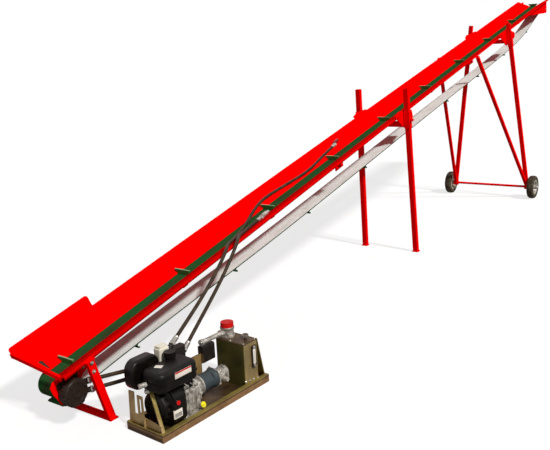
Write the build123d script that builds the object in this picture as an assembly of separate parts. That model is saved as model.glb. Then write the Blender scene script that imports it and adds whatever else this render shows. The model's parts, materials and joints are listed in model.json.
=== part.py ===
from build123d import *
import math
import os

# A long inclined firewood conveyor with its own petrol hydraulic power pack.
# Millimetres. +X runs from the low tail end to the high head end, -Y is the near
# side, +Z is up. The origin is on the ground, in the middle of the foot's cross bar.

os.makedirs("parts", exist_ok=True)

# Driving dimensions of the trough
SLOPE = 14.0
TAIL_X = -165.0
TAIL_Z = 257.0
LENGTH = 8085.0
BELT_HALF = 65.0
BELT_T = 6.0
GAP_HALF = 38.0
GAP_N = 11.0
TOP_HALF = 185.0
TOP_N = 80.0
SHEET = 3.0
LIP = 20.0
DRUM_R = 58.0
ROLLER_R = 46.0
RUN_GAP = 0.3

# Wheels and legs
WHEEL_X = 6140.0
WHEEL_Y = 487.0
WHEEL_R = 130.0
MID_S = 3629.0
HEAD_S = 6342.0
TYRE_W = 74.0
TUBE = 40.0

COS = math.cos(math.radians(SLOPE))
SIN = math.sin(math.radians(SLOPE))
WALL_TAN = (TOP_N - GAP_N) / (TOP_HALF - GAP_HALF)
WALL_COS = 1.0 / math.sqrt(1.0 + WALL_TAN * WALL_TAN)
SIDES = (("near", -1.0), ("far", 1.0))


def save(name, shape):
    export_step(shape, "parts/" + name + ".step")


def box(x0, x1, y0, y1, z0, z1):
    return Pos((x0 + x1) / 2, (y0 + y1) / 2, (z0 + z1) / 2) * Box(x1 - x0, y1 - y0, z1 - z0)


def rod(start, end, radius):
    a = Vector(*start)
    b = Vector(*end)
    plane = Plane(origin=a, z_dir=(b - a).normalized())
    return extrude(plane * Circle(radius), (b - a).length)


def bar(start, end, width, depth, side=(0, 1, 0), wall=0.0):
    # a rectangular bar or tube from start to end, its depth along side
    a = Vector(*start)
    b = Vector(*end)
    along = (b - a).normalized()
    across = Vector(*side) - along * along.dot(Vector(*side))
    plane = Plane(origin=a, x_dir=across.normalized(), z_dir=along)
    face = Rectangle(depth, width)
    if wall > 0:
        face = face - Rectangle(depth - 2 * wall, width - 2 * wall)
    return extrude(plane * face, (b - a).length)


def fuse(pieces):
    whole = pieces[0]
    for piece in pieces[1:]:
        whole = whole + piece
    return whole


def cyl_y(x, y0, y1, z, radius):
    return Pos(x, (y0 + y1) / 2, z) * Rot(90, 0, 0) * Cylinder(radius, y1 - y0)


def on_trough(shape):
    # from trough coordinates (along, across, above the floor) to the world
    return Pos(TAIL_X, 0, TAIL_Z) * Rot(0, -SLOPE, 0) * shape


def world(s, y, n):
    return (TAIL_X + s * COS - n * SIN, y, TAIL_Z + s * SIN + n * COS)


def along_s(points, s0, s1):
    # a section in (y, n) run from s0 to s1 along the trough
    plane = Plane(origin=(s0, 0, 0), x_dir=(0, 1, 0), z_dir=(1, 0, 0))
    return extrude(plane * Polygon(*points, align=None), s1 - s0, dir=(1, 0, 0))


def across_y(points, y0, y1):
    # an outline in (s, n) run from y0 to y1 across the trough
    plane = Plane(origin=(0, y1, 0), x_dir=(1, 0, 0), z_dir=(0, -1, 0))
    return extrude(plane * Polygon(*points, align=None), y1 - y0, dir=(0, -1, 0))


def column(points, low, high):
    # an outline in (s, y) run from low to high above the trough's floor
    return Pos(0, 0, low) * extrude(Polygon(*points, align=None), high - low, dir=(0, 0, 1))


def wall_n(y):
    return GAP_N + (abs(y) - GAP_HALF) * WALL_TAN


# Trough: floor pan, near side and far side
WALL_DROP = SHEET / WALL_COS
PAN_S0 = DRUM_R * 0.45
PAN_S1 = LENGTH - ROLLER_R * 0.52
PAN_TOP = -RUN_GAP
PAN_LOW = PAN_TOP - SHEET
WEB_OUT = BELT_HALF + 10
WEB_IN = WEB_OUT - SHEET
web_out_n = wall_n(WEB_OUT) - WALL_DROP - 0.2
web_in_n = wall_n(WEB_IN) - WALL_DROP - 0.2
pan = along_s(
    [(-WEB_OUT, PAN_LOW), (WEB_OUT, PAN_LOW), (WEB_OUT, web_out_n), (WEB_IN, web_in_n),
     (WEB_IN, PAN_TOP), (-WEB_IN, PAN_TOP), (-WEB_IN, web_in_n), (-WEB_OUT, web_out_n)],
    PAN_S0, PAN_S1)
STIFFENER_PITCH = 900.0
stiffener_count = int((LENGTH - 600) / STIFFENER_PITCH)
stiffener_s = [STIFFENER_PITCH * (k + 1) for k in range(stiffener_count)]
free_s = [s for s in stiffener_s if abs(s - MID_S) > 120 and abs(s - HEAD_S) > 120]
stiffeners = [box(s - 20, s + 20, -WEB_OUT, WEB_OUT, PAN_LOW - 18, PAN_LOW) for s in free_s]
save("floor_pan", on_trough(fuse([pan] + stiffeners)))


def side_section(sign, gap, top):
    low = SHEET / WALL_COS
    points = [(gap, wall_n(gap)), (top, wall_n(top)), (top, wall_n(top) - LIP),
              (top - SHEET, wall_n(top) - LIP), (top - SHEET, wall_n(top - SHEET) - low),
              (gap, wall_n(gap) - low)]
    return [(sign * y, n) for y, n in points]


SIDE_S0 = -92.0
NEAR_S1 = LENGTH + 85.0
FAR_S1 = LENGTH - 40.0
near_side = along_s(side_section(-1, GAP_HALF, TOP_HALF), SIDE_S0, NEAR_S1)
rake = [(LENGTH - 10, -30), (NEAR_S1 + 5, -30), (NEAR_S1 + 5, -TOP_HALF + 12)]
near_side = near_side - column(rake, -50, 150)

# plates under the lips where the trough's sections are joined
JOINT_S = (2530.0, 5245.0)


def joint_plates(sign):
    n1 = wall_n(TOP_HALF) - LIP + 2
    y_out = sign * (TOP_HALF - SHEET + 1)
    y_in = sign * (TOP_HALF - SHEET - 5)
    return [box(s - 55, s + 55, min(y_in, y_out), max(y_in, y_out), n1 - 30, n1) for s in JOINT_S]


near_side = fuse([near_side] + joint_plates(-1))
save("near_side", on_trough(near_side))

far_side = along_s(side_section(1, GAP_HALF, TOP_HALF), SIDE_S0, FAR_S1)
slot = [(3, 108), (21, 107), (25, 95), (18, 44), (12, 50)]
far_side = fuse([far_side] + joint_plates(1)) - column(slot, -50, 150)

# Hopper: the far side goes on outwards at the low end
HOPPER_S1 = 465.0
HOPPER_HALF = 257.0
hopper_n0 = wall_n(TOP_HALF + 0.3)
hopper = along_s(
    [(TOP_HALF + 0.3, hopper_n0), (HOPPER_HALF, wall_n(HOPPER_HALF)),
     (HOPPER_HALF, wall_n(HOPPER_HALF) - WALL_DROP), (TOP_HALF + 0.3, hopper_n0 - WALL_DROP)],
    SIDE_S0, HOPPER_S1)
corner = [(SIDE_S0 - 1, HOPPER_HALF - 24), (SIDE_S0 - 1, HOPPER_HALF + 1), (SIDE_S0 + 46, HOPPER_HALF + 1)]
hopper = hopper - column(corner, -50, 250)
save("far_side", on_trough(far_side))
save("hopper_side", on_trough(hopper))

# End strap across the low end, an angle whose flange covers the belt's start
STRAP_NEAR = (-TOP_HALF + 35, 84.0)
STRAP_FAR = (TOP_HALF + 15, 100.0)
STRAP_H = 22.0
FLANGE_W = 48.0
strap_s0 = SIDE_S0 - SHEET - 0.2
strap_face = along_s(
    [STRAP_NEAR, (STRAP_NEAR[0], STRAP_NEAR[1] - STRAP_H), (STRAP_FAR[0], STRAP_FAR[1] - STRAP_H), STRAP_FAR],
    strap_s0, strap_s0 + SHEET)
strap_flange = along_s(
    [STRAP_NEAR, (STRAP_NEAR[0], STRAP_NEAR[1] - SHEET), (STRAP_FAR[0], STRAP_FAR[1] - SHEET), STRAP_FAR],
    strap_s0, strap_s0 + FLANGE_W)
save("end_strap", on_trough(fuse([strap_face, strap_flange])))

# Belt: one fixed loop, in four nodes that meet end to end
TAIL_N = -DRUM_R
HEAD_N = -ROLLER_R
SAG_SHAPE = ((0.041, -119), (0.087, -129), (0.125, -139), (0.186, -156), (0.371, -181), (0.557, -199),
             (0.742, -223), (0.853, -227), (0.928, -188))
SAG = [(0, -2 * DRUM_R)] + [(LENGTH * share, n) for share, n in SAG_SHAPE] + [(LENGTH, -2 * ROLLER_R)]


def sag_normal(i):
    a = SAG[max(i - 1, 0)]
    b = SAG[min(i + 1, len(SAG) - 1)]
    dx = b[0] - a[0]
    dy = b[1] - a[1]
    size = math.hypot(dx, dy)
    return (dy / size, -dx / size)


CLEAT_HALF = 56.0
CLEAT_H = 32.0
TAIL_CLEAT_TURN = -152.0


def cleat(height=CLEAT_H):
    # a flared cleat standing on the outer face, in (along, across, out)
    half = [(32, 0), (34, 8), (CLEAT_HALF, CLEAT_H - 8), (CLEAT_HALF, height)]
    outline = half + [(-y, n) for y, n in reversed(half)]
    return along_s(outline, -4, 4)


HEAD_LEAN = 0.12
LEAN_SIZE = math.hypot(1.0, HEAD_LEAN)
HEAD_OUT = (HEAD_LEAN / LEAN_SIZE, -1.0 / LEAN_SIZE)


def off_roller(radius):
    return (LENGTH + HEAD_OUT[0] * radius, HEAD_N + HEAD_OUT[1] * radius)


inner_points = list(SAG[:-1]) + [off_roller(ROLLER_R)]
outer_points = [(0, SAG[0][1] - BELT_T)]
for i in range(1, len(SAG) - 1):
    nx, nz = sag_normal(i)
    outer_points.append((SAG[i][0] + nx * BELT_T, SAG[i][1] + nz * BELT_T))
outer_points.append(off_roller(ROLLER_R + BELT_T))
inner = Spline(*inner_points, tangents=((1, 0), (1, HEAD_LEAN)))
outer = Spline(*outer_points, tangents=((1, 0), (1, HEAD_LEAN)))
start_cap = Line(inner_points[0], outer_points[0])
end_cap = Line(inner_points[-1], outer_points[-1])
lower_face = make_face([inner, end_cap, outer, start_cap])
lower_plane = Plane(origin=(0, BELT_HALF, 0), x_dir=(1, 0, 0), z_dir=(0, -1, 0))
belt_lower = extrude(lower_plane * lower_face, 2 * BELT_HALF, dir=(0, -1, 0))
belt_upper = box(0, LENGTH, -BELT_HALF, BELT_HALF, 0, BELT_T)


def wrap(s, n, radius, wedge):
    # the belt's turn about a drum, kept where the wedge of directions allows
    ring = cyl_y(s, -BELT_HALF, BELT_HALF, n, radius + BELT_T) - cyl_y(
        s, -BELT_HALF - 1, BELT_HALF + 1, n, radius)
    reach = 2 * radius
    keep = across_y([(s + reach * a, n + reach * b) for a, b in wedge], -200, 200)
    return ring & keep


TAIL_WEDGE = ((0, 0), (0, -1), (-1, -1), (-1, 1), (0, 1))
HEAD_WEDGE = ((0, 0), HEAD_OUT, (1, -1), (1, 1), (0, 1))
PITCH = 885.0
FIRST_S = 88.0
RETURN_S = 483.0
upper_count = int((LENGTH - FIRST_S) / PITCH) + 1
upper_cleats = [FIRST_S + PITCH * k for k in range(upper_count)]
belt_upper = fuse([belt_upper] + [Pos(s, 0, BELT_T) * cleat() for s in upper_cleats])

lower_parts = [belt_lower]
return_count = int((LENGTH - 400 - RETURN_S) / PITCH) + 1
return_s = [RETURN_S + PITCH * k for k in range(return_count)]


def sag_at(s):
    for (s0, n0), (s1, n1) in zip(SAG[:-1], SAG[1:]):
        if s0 <= s <= s1:
            ratio = (s - s0) / (s1 - s0)
            return n0 + (n1 - n0) * ratio, math.atan2(n1 - n0, s1 - s0)
    return SAG[0][1], 0.0


for s in return_s:
    n, lean = sag_at(s)
    lower_parts.append(Pos(s, 0, n - BELT_T + 3) * Rot(180, math.degrees(lean), 0) * cleat(CLEAT_H + 3))
save("belt_upper", on_trough(belt_upper))
save("belt_lower", on_trough(fuse(lower_parts)))
tail_cleat = Pos(0, 0, TAIL_N) * Rot(0, TAIL_CLEAT_TURN, 0) * Pos(0, 0, DRUM_R + BELT_T - 1) * cleat(CLEAT_H)
save("belt_tail_wrap", on_trough(wrap(0, TAIL_N, DRUM_R, TAIL_WEDGE) + tail_cleat))
save("belt_head_wrap", on_trough(wrap(LENGTH, HEAD_N, ROLLER_R, HEAD_WEDGE)))

# Drum and head roller with their shafts and bearing plates
PLATE_Y0 = 76.0
HEAD_PLATE_Y0 = 142.0
PLATE_T = 6.0
drum = cyl_y(0, -70, 70, TAIL_N, DRUM_R - 0.2) + cyl_y(0, -PLATE_Y0 - 8, PLATE_Y0 + 22, TAIL_N, 15)
save("tail_drum", on_trough(drum))
roller = cyl_y(LENGTH, -68, 68, HEAD_N, ROLLER_R - 0.2) + cyl_y(
    LENGTH, -HEAD_PLATE_Y0 - 14, HEAD_PLATE_Y0 + 14, HEAD_N, 10)
save("head_roller", on_trough(roller))


def bearing_plate(s, n, radius, reach, nose, bore, y_in, sign):
    # a plate hung from the side wall, rounded about the shaft, with a nose beyond it
    y0 = y_in if sign > 0 else -y_in - PLATE_T
    top = wall_n(y_in) - WALL_DROP - 0.3
    outline = [(s + nose, top), (s + reach, top), (s + reach, top - 22), (s, n - radius), (s + nose * 0.85, n - 44)]
    plate = across_y(outline, y0, y0 + PLATE_T) + cyl_y(s, y0, y0 + PLATE_T, n, radius)
    return plate - cyl_y(s, y0 - 1, y0 + PLATE_T + 1, n, bore)


tail_plates = [bearing_plate(0, TAIL_N, 70, 190, -97, 15.05, PLATE_Y0, sign) for _, sign in SIDES]
save("tail_plates", on_trough(fuse(tail_plates)))
HEAD_REACH = -0.0915 * LENGTH
head_plates = [bearing_plate(LENGTH, HEAD_N, 50, HEAD_REACH, 48, 10.05, HEAD_PLATE_Y0, sign) for _, sign in SIDES]
save("head_plates", on_trough(fuse(head_plates)))

# Hydraulic drive motor on the near side
MOTOR_Y = -PLATE_Y0 - PLATE_T
MOTOR_R = 62.0
MOTOR_L = 72.0


def turn_y(profile, s, n):
    # a profile of (radius, y) turned about the axis across the trough at (s, n)
    return Pos(s, 0, n) * revolve(Plane.XY * Polygon(*profile, align=None), Axis.Y, 360)


flange = Pos(0, MOTOR_Y - 0.3, TAIL_N) * Rot(90, 0, 0) * extrude(RectangleRounded(120, 120, 18), 13.7)
flange = flange - cyl_y(0, MOTOR_Y - 15, MOTOR_Y, TAIL_N, 16)
motor_end = MOTOR_Y - MOTOR_L
motor_profile = [(0, MOTOR_Y - 14), (0, motor_end), (18, motor_end), (18, motor_end + 4), (48, motor_end + 4),
                 (MOTOR_R - 3, motor_end + 9), (MOTOR_R, motor_end + 15), (MOTOR_R, motor_end + 34),
                 (MOTOR_R - 4, motor_end + 34), (MOTOR_R - 4, motor_end + 37), (MOTOR_R, motor_end + 37),
                 (MOTOR_R, MOTOR_Y - 18), (MOTOR_R - 6, MOTOR_Y - 13), (0, MOTOR_Y - 13)]
motor = flange + turn_y(motor_profile[1:], 0, TAIL_N)
PORT_Y = MOTOR_Y - 38
PORT_S = 40.0
PORT_TURN = 25.0
PORT_N = (TAIL_N + 14, TAIL_N - 38)
for n in PORT_N:
    px, _, pz = world(PORT_S, 0, n)
    level = Pos(px, PORT_Y, pz) * Rot(0, 0, -PORT_TURN) * Pos(20, 0, 0) * Rot(0, 90, 0) * Cylinder(14, 40)
    motor = motor + Rot(0, SLOPE, 0) * Pos(-TAIL_X, 0, -TAIL_Z) * level
motor_bolts = [(dx, dz) for dx in (-50, 50) for dz in (-50, 50)]
for dx, dz in motor_bolts:
    motor = motor + cyl_y(dx, MOTOR_Y - 20, MOTOR_Y - 14, TAIL_N + dz, 8)
save("drive_motor", on_trough(motor))

# Foot at the low end, in angle iron
FOOT_TOP_S = 85.0
FOOT_Y = TOP_HALF + 0.3
FOOT_W = 50.0
FOOT_D = 22.0
FOOT_T = 6.0
foot = []
for _, sign in SIDES:
    top = world(FOOT_TOP_S, sign * (FOOT_Y + FOOT_D / 2), TOP_N - 8)
    low = (0.0, sign * (FOOT_Y + FOOT_D / 2), 0.0)
    solid = bar(top, low, FOOT_W, FOOT_D, (0, 1, 0))
    inside = bar(top, low, FOOT_W, FOOT_D, (0, 1, 0))
    foot.append(solid - Pos(FOOT_T, sign * FOOT_T, 0) * inside)
    y0 = sign * (FOOT_Y + FOOT_T)
    p = world(FOOT_TOP_S + 4, 0, TOP_N - 24)
    foot.append(cyl_y(p[0], min(y0, y0 + sign * 7), max(y0, y0 + sign * 7), p[2], 9))
cross_half_y = FOOT_Y + FOOT_D
foot.append(box(-25, 25, -cross_half_y, cross_half_y, 0, 8))
foot.append(box(-25, -17, -cross_half_y, cross_half_y, 0, 32))
save("foot", fuse(foot) - box(-300, 300, -300, 300, -100, 0))

# Middle bracket, with a sleeve on each side for a sliding leg
LEG_TOP_Y = 219.0
LEG_LEAN_Y = 28.0
LEG_LEAN_X = 135.0
LEG_TOP_Z = 1405.0
MID_FOOT_X = 3455.0


def leg_point(sign, z):
    ratio = 1.0 - z / LEG_TOP_Z
    return (MID_FOOT_X - LEG_LEAN_X * (1.0 - ratio), sign * (LEG_TOP_Y + LEG_LEAN_Y * ratio), z)


SLEEVE_Z = (1083.0, 1218.0)
SLEEVE_WALL = 4.0
SLEEVE_GAP = 0.5


def sleeve(low, high, gap=SLEEVE_GAP):
    outer = TUBE + 2 * gap + 2 * SLEEVE_WALL
    return bar(low, high, outer, outer, (0, 1, 0), SLEEVE_WALL)


MID_GUSSET = ((-170, 96), (-97, 112), (46, 90), (152, 51), (162, -17), (30, -42), (-30, -42))
HEAD_GUSSET = ((-232, 92), (-184, 114), (-91, 100), (81, 91), (280, 9), (288, -42), (177, -64), (-24, -64))
mid_parts = []
leg_shapes = {}
tube_n1 = PAN_LOW - 0.3
GUSSET_IN = 185.3
GUSSET_OUT = 193.0
cross_half = GUSSET_IN + 1
cross = on_trough(box(MID_S - 25, MID_S + 25, -cross_half, cross_half, tube_n1 - 36, tube_n1))
mid_parts.append(cross)
for name, sign in SIDES:
    low = leg_point(sign, SLEEVE_Z[0])
    high = leg_point(sign, SLEEVE_Z[1])
    mid_parts.append(sleeve(low, high))
    gusset = across_y([(MID_S + s, n) for s, n in MID_GUSSET],
                      min(sign * GUSSET_IN, sign * GUSSET_OUT), max(sign * GUSSET_IN, sign * GUSSET_OUT))
    mid_parts.append(on_trough(gusset))
    block_in = sign * (GUSSET_OUT - 1)
    block_out = sign * 202.0
    block = box(MID_S - 18, MID_S + 18, min(block_in, block_out), max(block_in, block_out), -36, 52)
    mid_parts.append(on_trough(block))
mid_fused = fuse(mid_parts)
for name, sign in SIDES:
    bottom = leg_point(sign, 0.0)
    top = leg_point(sign, LEG_TOP_Z)
    leg = bar(bottom, top, TUBE, TUBE, (0, 1, 0), 3.0)
    reach = bar(leg_point(sign, -60), leg_point(sign, LEG_TOP_Z + 60), TUBE + 2 * SLEEVE_GAP,
                TUBE + 2 * SLEEVE_GAP, (0, 1, 0))
    mid_fused = mid_fused - reach
    pad = Pos(bottom[0], bottom[1], 4) * Box(52, 52, 8)
    leg = (leg + pad) - box(bottom[0] - 200, bottom[0] + 200, bottom[1] - 200, bottom[1] + 200, -100, 0)
    leg_shapes[name] = leg
    mid_z = (SLEEVE_Z[0] + SLEEVE_Z[1]) / 2
    p = leg_point(sign, mid_z)
    y0 = p[1] + sign * (TUBE / 2 + 0.3)
    y1 = y0 + sign * 34
    mid_fused = mid_fused + cyl_y(p[0], min(y0, y1), max(y0, y1), mid_z, 6)
    y2 = y0 + sign * 12
    y3 = y0 + sign * 24
    mid_fused = mid_fused + cyl_y(p[0], min(y2, y3), max(y2, y3), mid_z, 12)
save("mid_bracket", mid_fused)
for name, leg in leg_shapes.items():
    save("mid_leg_" + name, leg)

# Undercarriage: head bracket, uprights, braces, axle
UP_TOP = (5975.0, 208.0, 1960.0)
UP_LOW = (WHEEL_X, WHEEL_Y - TYRE_W / 2 - 26.0, WHEEL_R)
BRACE_TOP = (5035.0, 203.0, 1622.0)


def mirror(point, sign):
    return (point[0], sign * point[1], point[2])


def between(a, b, ratio):
    return tuple(a[i] + (b[i] - a[i]) * ratio for i in range(3))


head_parts = [on_trough(box(HEAD_S - 20, HEAD_S + 20, -cross_half, cross_half, tube_n1 - 36, tube_n1))]
uprights = {}
braces = {}
for name, sign in SIDES:
    up_low = mirror(UP_LOW, sign)
    up_top = mirror(UP_TOP, sign)
    upright = bar(up_low, up_top, TUBE, TUBE, (0, 1, 0), 3.0)
    low = between(up_low, up_top, 0.865)
    high = between(up_low, up_top, 0.935)
    head_parts.append(bar(low, high, TUBE + 8.6, TUBE + 8.6, (0, 1, 0)))
    brace = bar(up_low, mirror(BRACE_TOP, sign), 30, 30, (0, 1, 0))
    uprights[name] = upright
    braces[name] = brace
for name, sign in SIDES:
    y_in = sign * GUSSET_IN
    y_out = sign * GUSSET_OUT
    gusset = across_y([(HEAD_S + s, n) for s, n in HEAD_GUSSET], min(y_in, y_out), max(y_in, y_out))
    head_parts.append(on_trough(gusset))
    block_in = sign * (GUSSET_OUT - 1)
    block_out = sign * 206.0
    block = box(HEAD_S - 18, HEAD_S + 18, min(block_in, block_out), max(block_in, block_out), -44, 40)
    head_parts.append(on_trough(block))
head_fused = fuse(head_parts)
for name, sign in SIDES:
    reach = bar(between(mirror(UP_LOW, sign), mirror(UP_TOP, sign), 0.5),
                between(mirror(UP_LOW, sign), mirror(UP_TOP, sign), 1.05), TUBE + 0.6, TUBE + 0.6, (0, 1, 0))
    head_fused = head_fused - reach
save("head_bracket", head_fused)

axle_tube = rod((WHEEL_X, -UP_LOW[1] - 22, WHEEL_R), (WHEEL_X, UP_LOW[1] + 22, WHEEL_R), 13)
spindle = rod((WHEEL_X, -WHEEL_Y - 45, WHEEL_R), (WHEEL_X, WHEEL_Y + 45, WHEEL_R), 10)
hub_clear = [cyl_y(WHEEL_X, sign * UP_LOW[1] - 24, sign * UP_LOW[1] + 24, WHEEL_R, 30) for _, sign in SIDES]
axle = axle_tube + spindle
for clear in hub_clear:
    axle = axle + clear
save("axle", axle)
for name, sign in SIDES:
    clear = cyl_y(WHEEL_X, sign * UP_LOW[1] - 24.3, sign * UP_LOW[1] + 24.3, WHEEL_R, 30.3)
    upright = uprights[name] - clear
    brace = braces[name] - clear - bar(mirror(UP_LOW, sign), mirror(UP_TOP, sign), TUBE + 0.6, TUBE + 0.6)
    save("upright_" + name, upright.solids().sort_by(SortBy.VOLUME)[-1])
    save("brace_" + name, brace.solids().sort_by(SortBy.VOLUME)[-1])

# Wheels
TYRE_PROFILE = ((78, -30), (113, -37), (130, -19), (130, 19), (113, 37), (78, 30))
RIM_PROFILE = ((10.05, -37), (24, -37), (24, -6), (62, -4), (70, -31), (82, -31), (77.7, -29.7),
               (77.7, 29.7), (82, 31), (70, 31), (62, 2), (24, 6), (24, 37), (10.05, 37))


def turned(profile, x, y, z, sign):
    face = Plane.XY * Polygon(*[(r, sign * w) for r, w in profile], align=None)
    return Pos(x, y, z) * revolve(face, Axis.Y, 360)


for name, sign in SIDES:
    tyre = turned(TYRE_PROFILE, WHEEL_X, sign * WHEEL_Y, WHEEL_R, sign)
    rim = turned(RIM_PROFILE, WHEEL_X, sign * WHEEL_Y, WHEEL_R, sign)
    save("tyre_" + name, tyre)
    save("rim_" + name, rim - tyre)

# Power pack, in its own frame: along, across from its near edge, up
PACK_X = -71.0
PACK_Y = -576.0
PACK_TURN = -3.1
TRAY_W = 248.0
TRAY_RIM = 42.0
RIM_IN = 24.0
SHEET_W = 4.0
FLOOR_W = 16.0
CRANK_V = 112.0
CRANK_W = 118.0
TANK_W0 = 214.3
CLEAR = 0.3

# lengths along the pack: each piece starts where the one before it ends
TRAY_U0 = 26.0
FAN_ROOM = 54.0
FAN_L = 125.0
CASE_L = 130.0
NECK_L = 45.0
BELL_L = 105.0
PUMP_L = 82.0
OIL_ROOM = 68.0
OIL_L = 107.0
END_ROOM = 54.0
FAN_U0 = TRAY_U0 + FAN_ROOM
CASE_U0 = FAN_U0 + FAN_L
CASE_U1 = CASE_U0 + CASE_L
NECK_U1 = CASE_U1 + NECK_L
BELL_U1 = NECK_U1 + BELL_L
PUMP_U1 = BELL_U1 + PUMP_L
OIL_U0 = PUMP_U1 + OIL_ROOM
OIL_U1 = OIL_U0 + OIL_L
TRAY_U1 = OIL_U1 + END_ROOM


def on_pack(shape):
    return Pos(PACK_X, PACK_Y, 0) * Rot(0, 0, PACK_TURN) * shape


def pack_world(u, v, w):
    c = math.cos(math.radians(PACK_TURN))
    s = math.sin(math.radians(PACK_TURN))
    return (PACK_X + u * c - v * s, PACK_Y + u * s + v * c, w)


def cyl_u(u0, u1, v, w, radius):
    return Pos((u0 + u1) / 2, v, w) * Rot(0, 90, 0) * Cylinder(radius, u1 - u0)


def cyl_w(u, v, w0, w1, radius):
    return Pos(u, v, (w0 + w1) / 2) * Cylinder(radius, w1 - w0)


def along_u(sketch, u0, u1):
    # a sketch in (v, w) run from u0 to u1 along the pack
    return extrude(Plane(origin=(u0, 0, 0), x_dir=(0, 1, 0), z_dir=(1, 0, 0)) * sketch, u1 - u0, dir=(1, 0, 0))


def upright(sketch, w0, w1):
    # a sketch in (u, v) run upwards from w0 to w1
    return Pos(0, 0, w0) * extrude(sketch, w1 - w0, dir=(0, 0, 1))


def turn_u(profile, v, w):
    # a profile of (u, radius) turned about the axis along the pack at (v, w)
    return Pos(0, v, w) * revolve(Plane.XY * Polygon(*profile, align=None), Axis.X, 360)


def around_u(shape, count, v, w, first=0.0):
    # copies of a shape set round the axis along the pack at (v, w)
    return [Pos(0, v, w) * Rot(first + 360.0 * k / count, 0, 0) * shape for k in range(count)]


# Tray: one folded section with a rim on each side, and a plate at each end
inner_v = TRAY_W - SHEET_W
fold = [(0, 0), (SHEET_W, 0), (SHEET_W, FLOOR_W - SHEET_W), (TRAY_W / 2, FLOOR_W - SHEET_W)]
fold = fold + [(TRAY_W / 2, FLOOR_W), (SHEET_W, FLOOR_W), (SHEET_W, TRAY_RIM - SHEET_W),
               (RIM_IN, TRAY_RIM - SHEET_W), (RIM_IN, TRAY_RIM), (0, TRAY_RIM)]
near_fold = along_u(Polygon(*fold, align=None), TRAY_U0, TRAY_U1)
far_fold = along_u(Polygon(*[(TRAY_W - v, w) for v, w in fold], align=None), TRAY_U0, TRAY_U1)
tray_ends = [box(u, u + SHEET_W, 0, TRAY_W, 0, TRAY_RIM) for u in (TRAY_U0, TRAY_U1 - SHEET_W)]

# the left plate carries a leg, a slotted strap and a low panel; its window is cut out
PLATE_U = TRAY_U0 + 14.0
left_plate = along_u(Polygon((16, FLOOR_W), (TRAY_W - 6, FLOOR_W), (TRAY_W - 16, 199), (TRAY_W - 52, 199),
                             (TRAY_W - 48, 92), (176, 88), (176, 188), (138, 188), (138, 84), (24, 70), align=None),
                     PLATE_U, PLATE_U + 5)
slot_sketch = Pos(157, 138) * Rot(0, 0, 90) * SlotOverall(72, 14)
left_plate = left_plate - along_u(slot_sketch, PLATE_U - 1, PLATE_U + 6)
post = cyl_w(PLATE_U - 6, 126, 12, 82, 6)
stay = bar((PLATE_U + 4, 13, TRAY_RIM - 3), (FAN_U0 - 3, CRANK_V + 2, CRANK_W + 88), 5, 18, (1, 0, 0))

# the right plate leans from the tray's end against the oil tank's top edge
OIL_TOP = 256.0
lean_outline = [(TRAY_U1 - 3, TRAY_RIM - 3), (TRAY_U1 - 8, TRAY_RIM - 3), (OIL_U1 + CLEAR, OIL_TOP - 4),
                (OIL_U1 + CLEAR, OIL_TOP + 1), (OIL_U1 + 4, OIL_TOP + 1)]
lean_plane = Plane(origin=(0, TRAY_W - 26, 0), x_dir=(1, 0, 0), z_dir=(0, -1, 0))
lean_plate = extrude(lean_plane * Polygon(*lean_outline, align=None), TRAY_W - 52, dir=(0, -1, 0))
lean_plate = lean_plate - box(OIL_U1 + 8, TRAY_U1 + 1, 60, TRAY_W - 60, 80, 200)
tray = fuse([near_fold, far_fold] + tray_ends + [left_plate, post, stay, lean_plate])
save("pack_tray", on_pack(tray))

# Engine: ribbed crankcase, finned cylinder that leans back, and the neck for the pump drive
CYLINDER_LEAN = 25.0
FIN_PITCH = 9.0
FIN_COUNT = 5
case = [
    along_u(Pos(119, 100) * RectangleRounded(142, 132, 22), CASE_U0, CASE_U1 - 10),
    box(CASE_U0 + 6, CASE_U1 - 6, 38, 202, FLOOR_W, FLOOR_W + 10),
    box(CASE_U0 + 14, CASE_U1 - 14, 56, 184, FLOOR_W + 8, FLOOR_W + 30),
    cyl_u(CASE_U1 - 10, CASE_U1, CRANK_V, CRANK_W - 8, 66),
    turn_u([(CASE_U1, 0), (CASE_U1, 40), (NECK_U1 - 14, 38), (NECK_U1 - 8, 50), (NECK_U1, 50), (NECK_U1, 0)],
           CRANK_V, CRANK_W),
    rod((CASE_U1 - 12, 56, 46), (CASE_U1 - 12, 38, 55), 12),
    rod((CASE_U1 - 12, 38, 55), (CASE_U1 - 12, 30, 59), 15)]
case = case + [box(CASE_U0 + u, CASE_U0 + u + 5, 43, 52, 44, 152) for u in (12, 38, 64, 90)]
case = case + around_u(Pos(CASE_U1 - 5, 0, 62) * Rot(0, 90, 0) * Cylinder(8, 14), 6, CRANK_V, CRANK_W - 8, 30)
cylinder = [box(CASE_U0 + 24, CASE_U0 + 106, 40, 98, -36, 36), box(CASE_U0 + 16, CASE_U0 + 114, 93, 104, -40, 40)]
for k in range(FIN_COUNT):
    y = 52 + FIN_PITCH * k
    cylinder.append(Pos(CASE_U0 + 65, y, 0) * Rot(90, 0, 0) * extrude(RectangleRounded(114, 96, 12), 3))
case = case + [Pos(0, CRANK_V, CRANK_W) * Rot(CYLINDER_LEAN, 0, 0) * piece for piece in cylinder]
case.append(upright(Pos(CASE_U0 + 40, 195) * RectangleRounded(34, 34, 8), 150, 240 - CLEAR))
save("engine_block", on_pack(fuse(case)))

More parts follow.
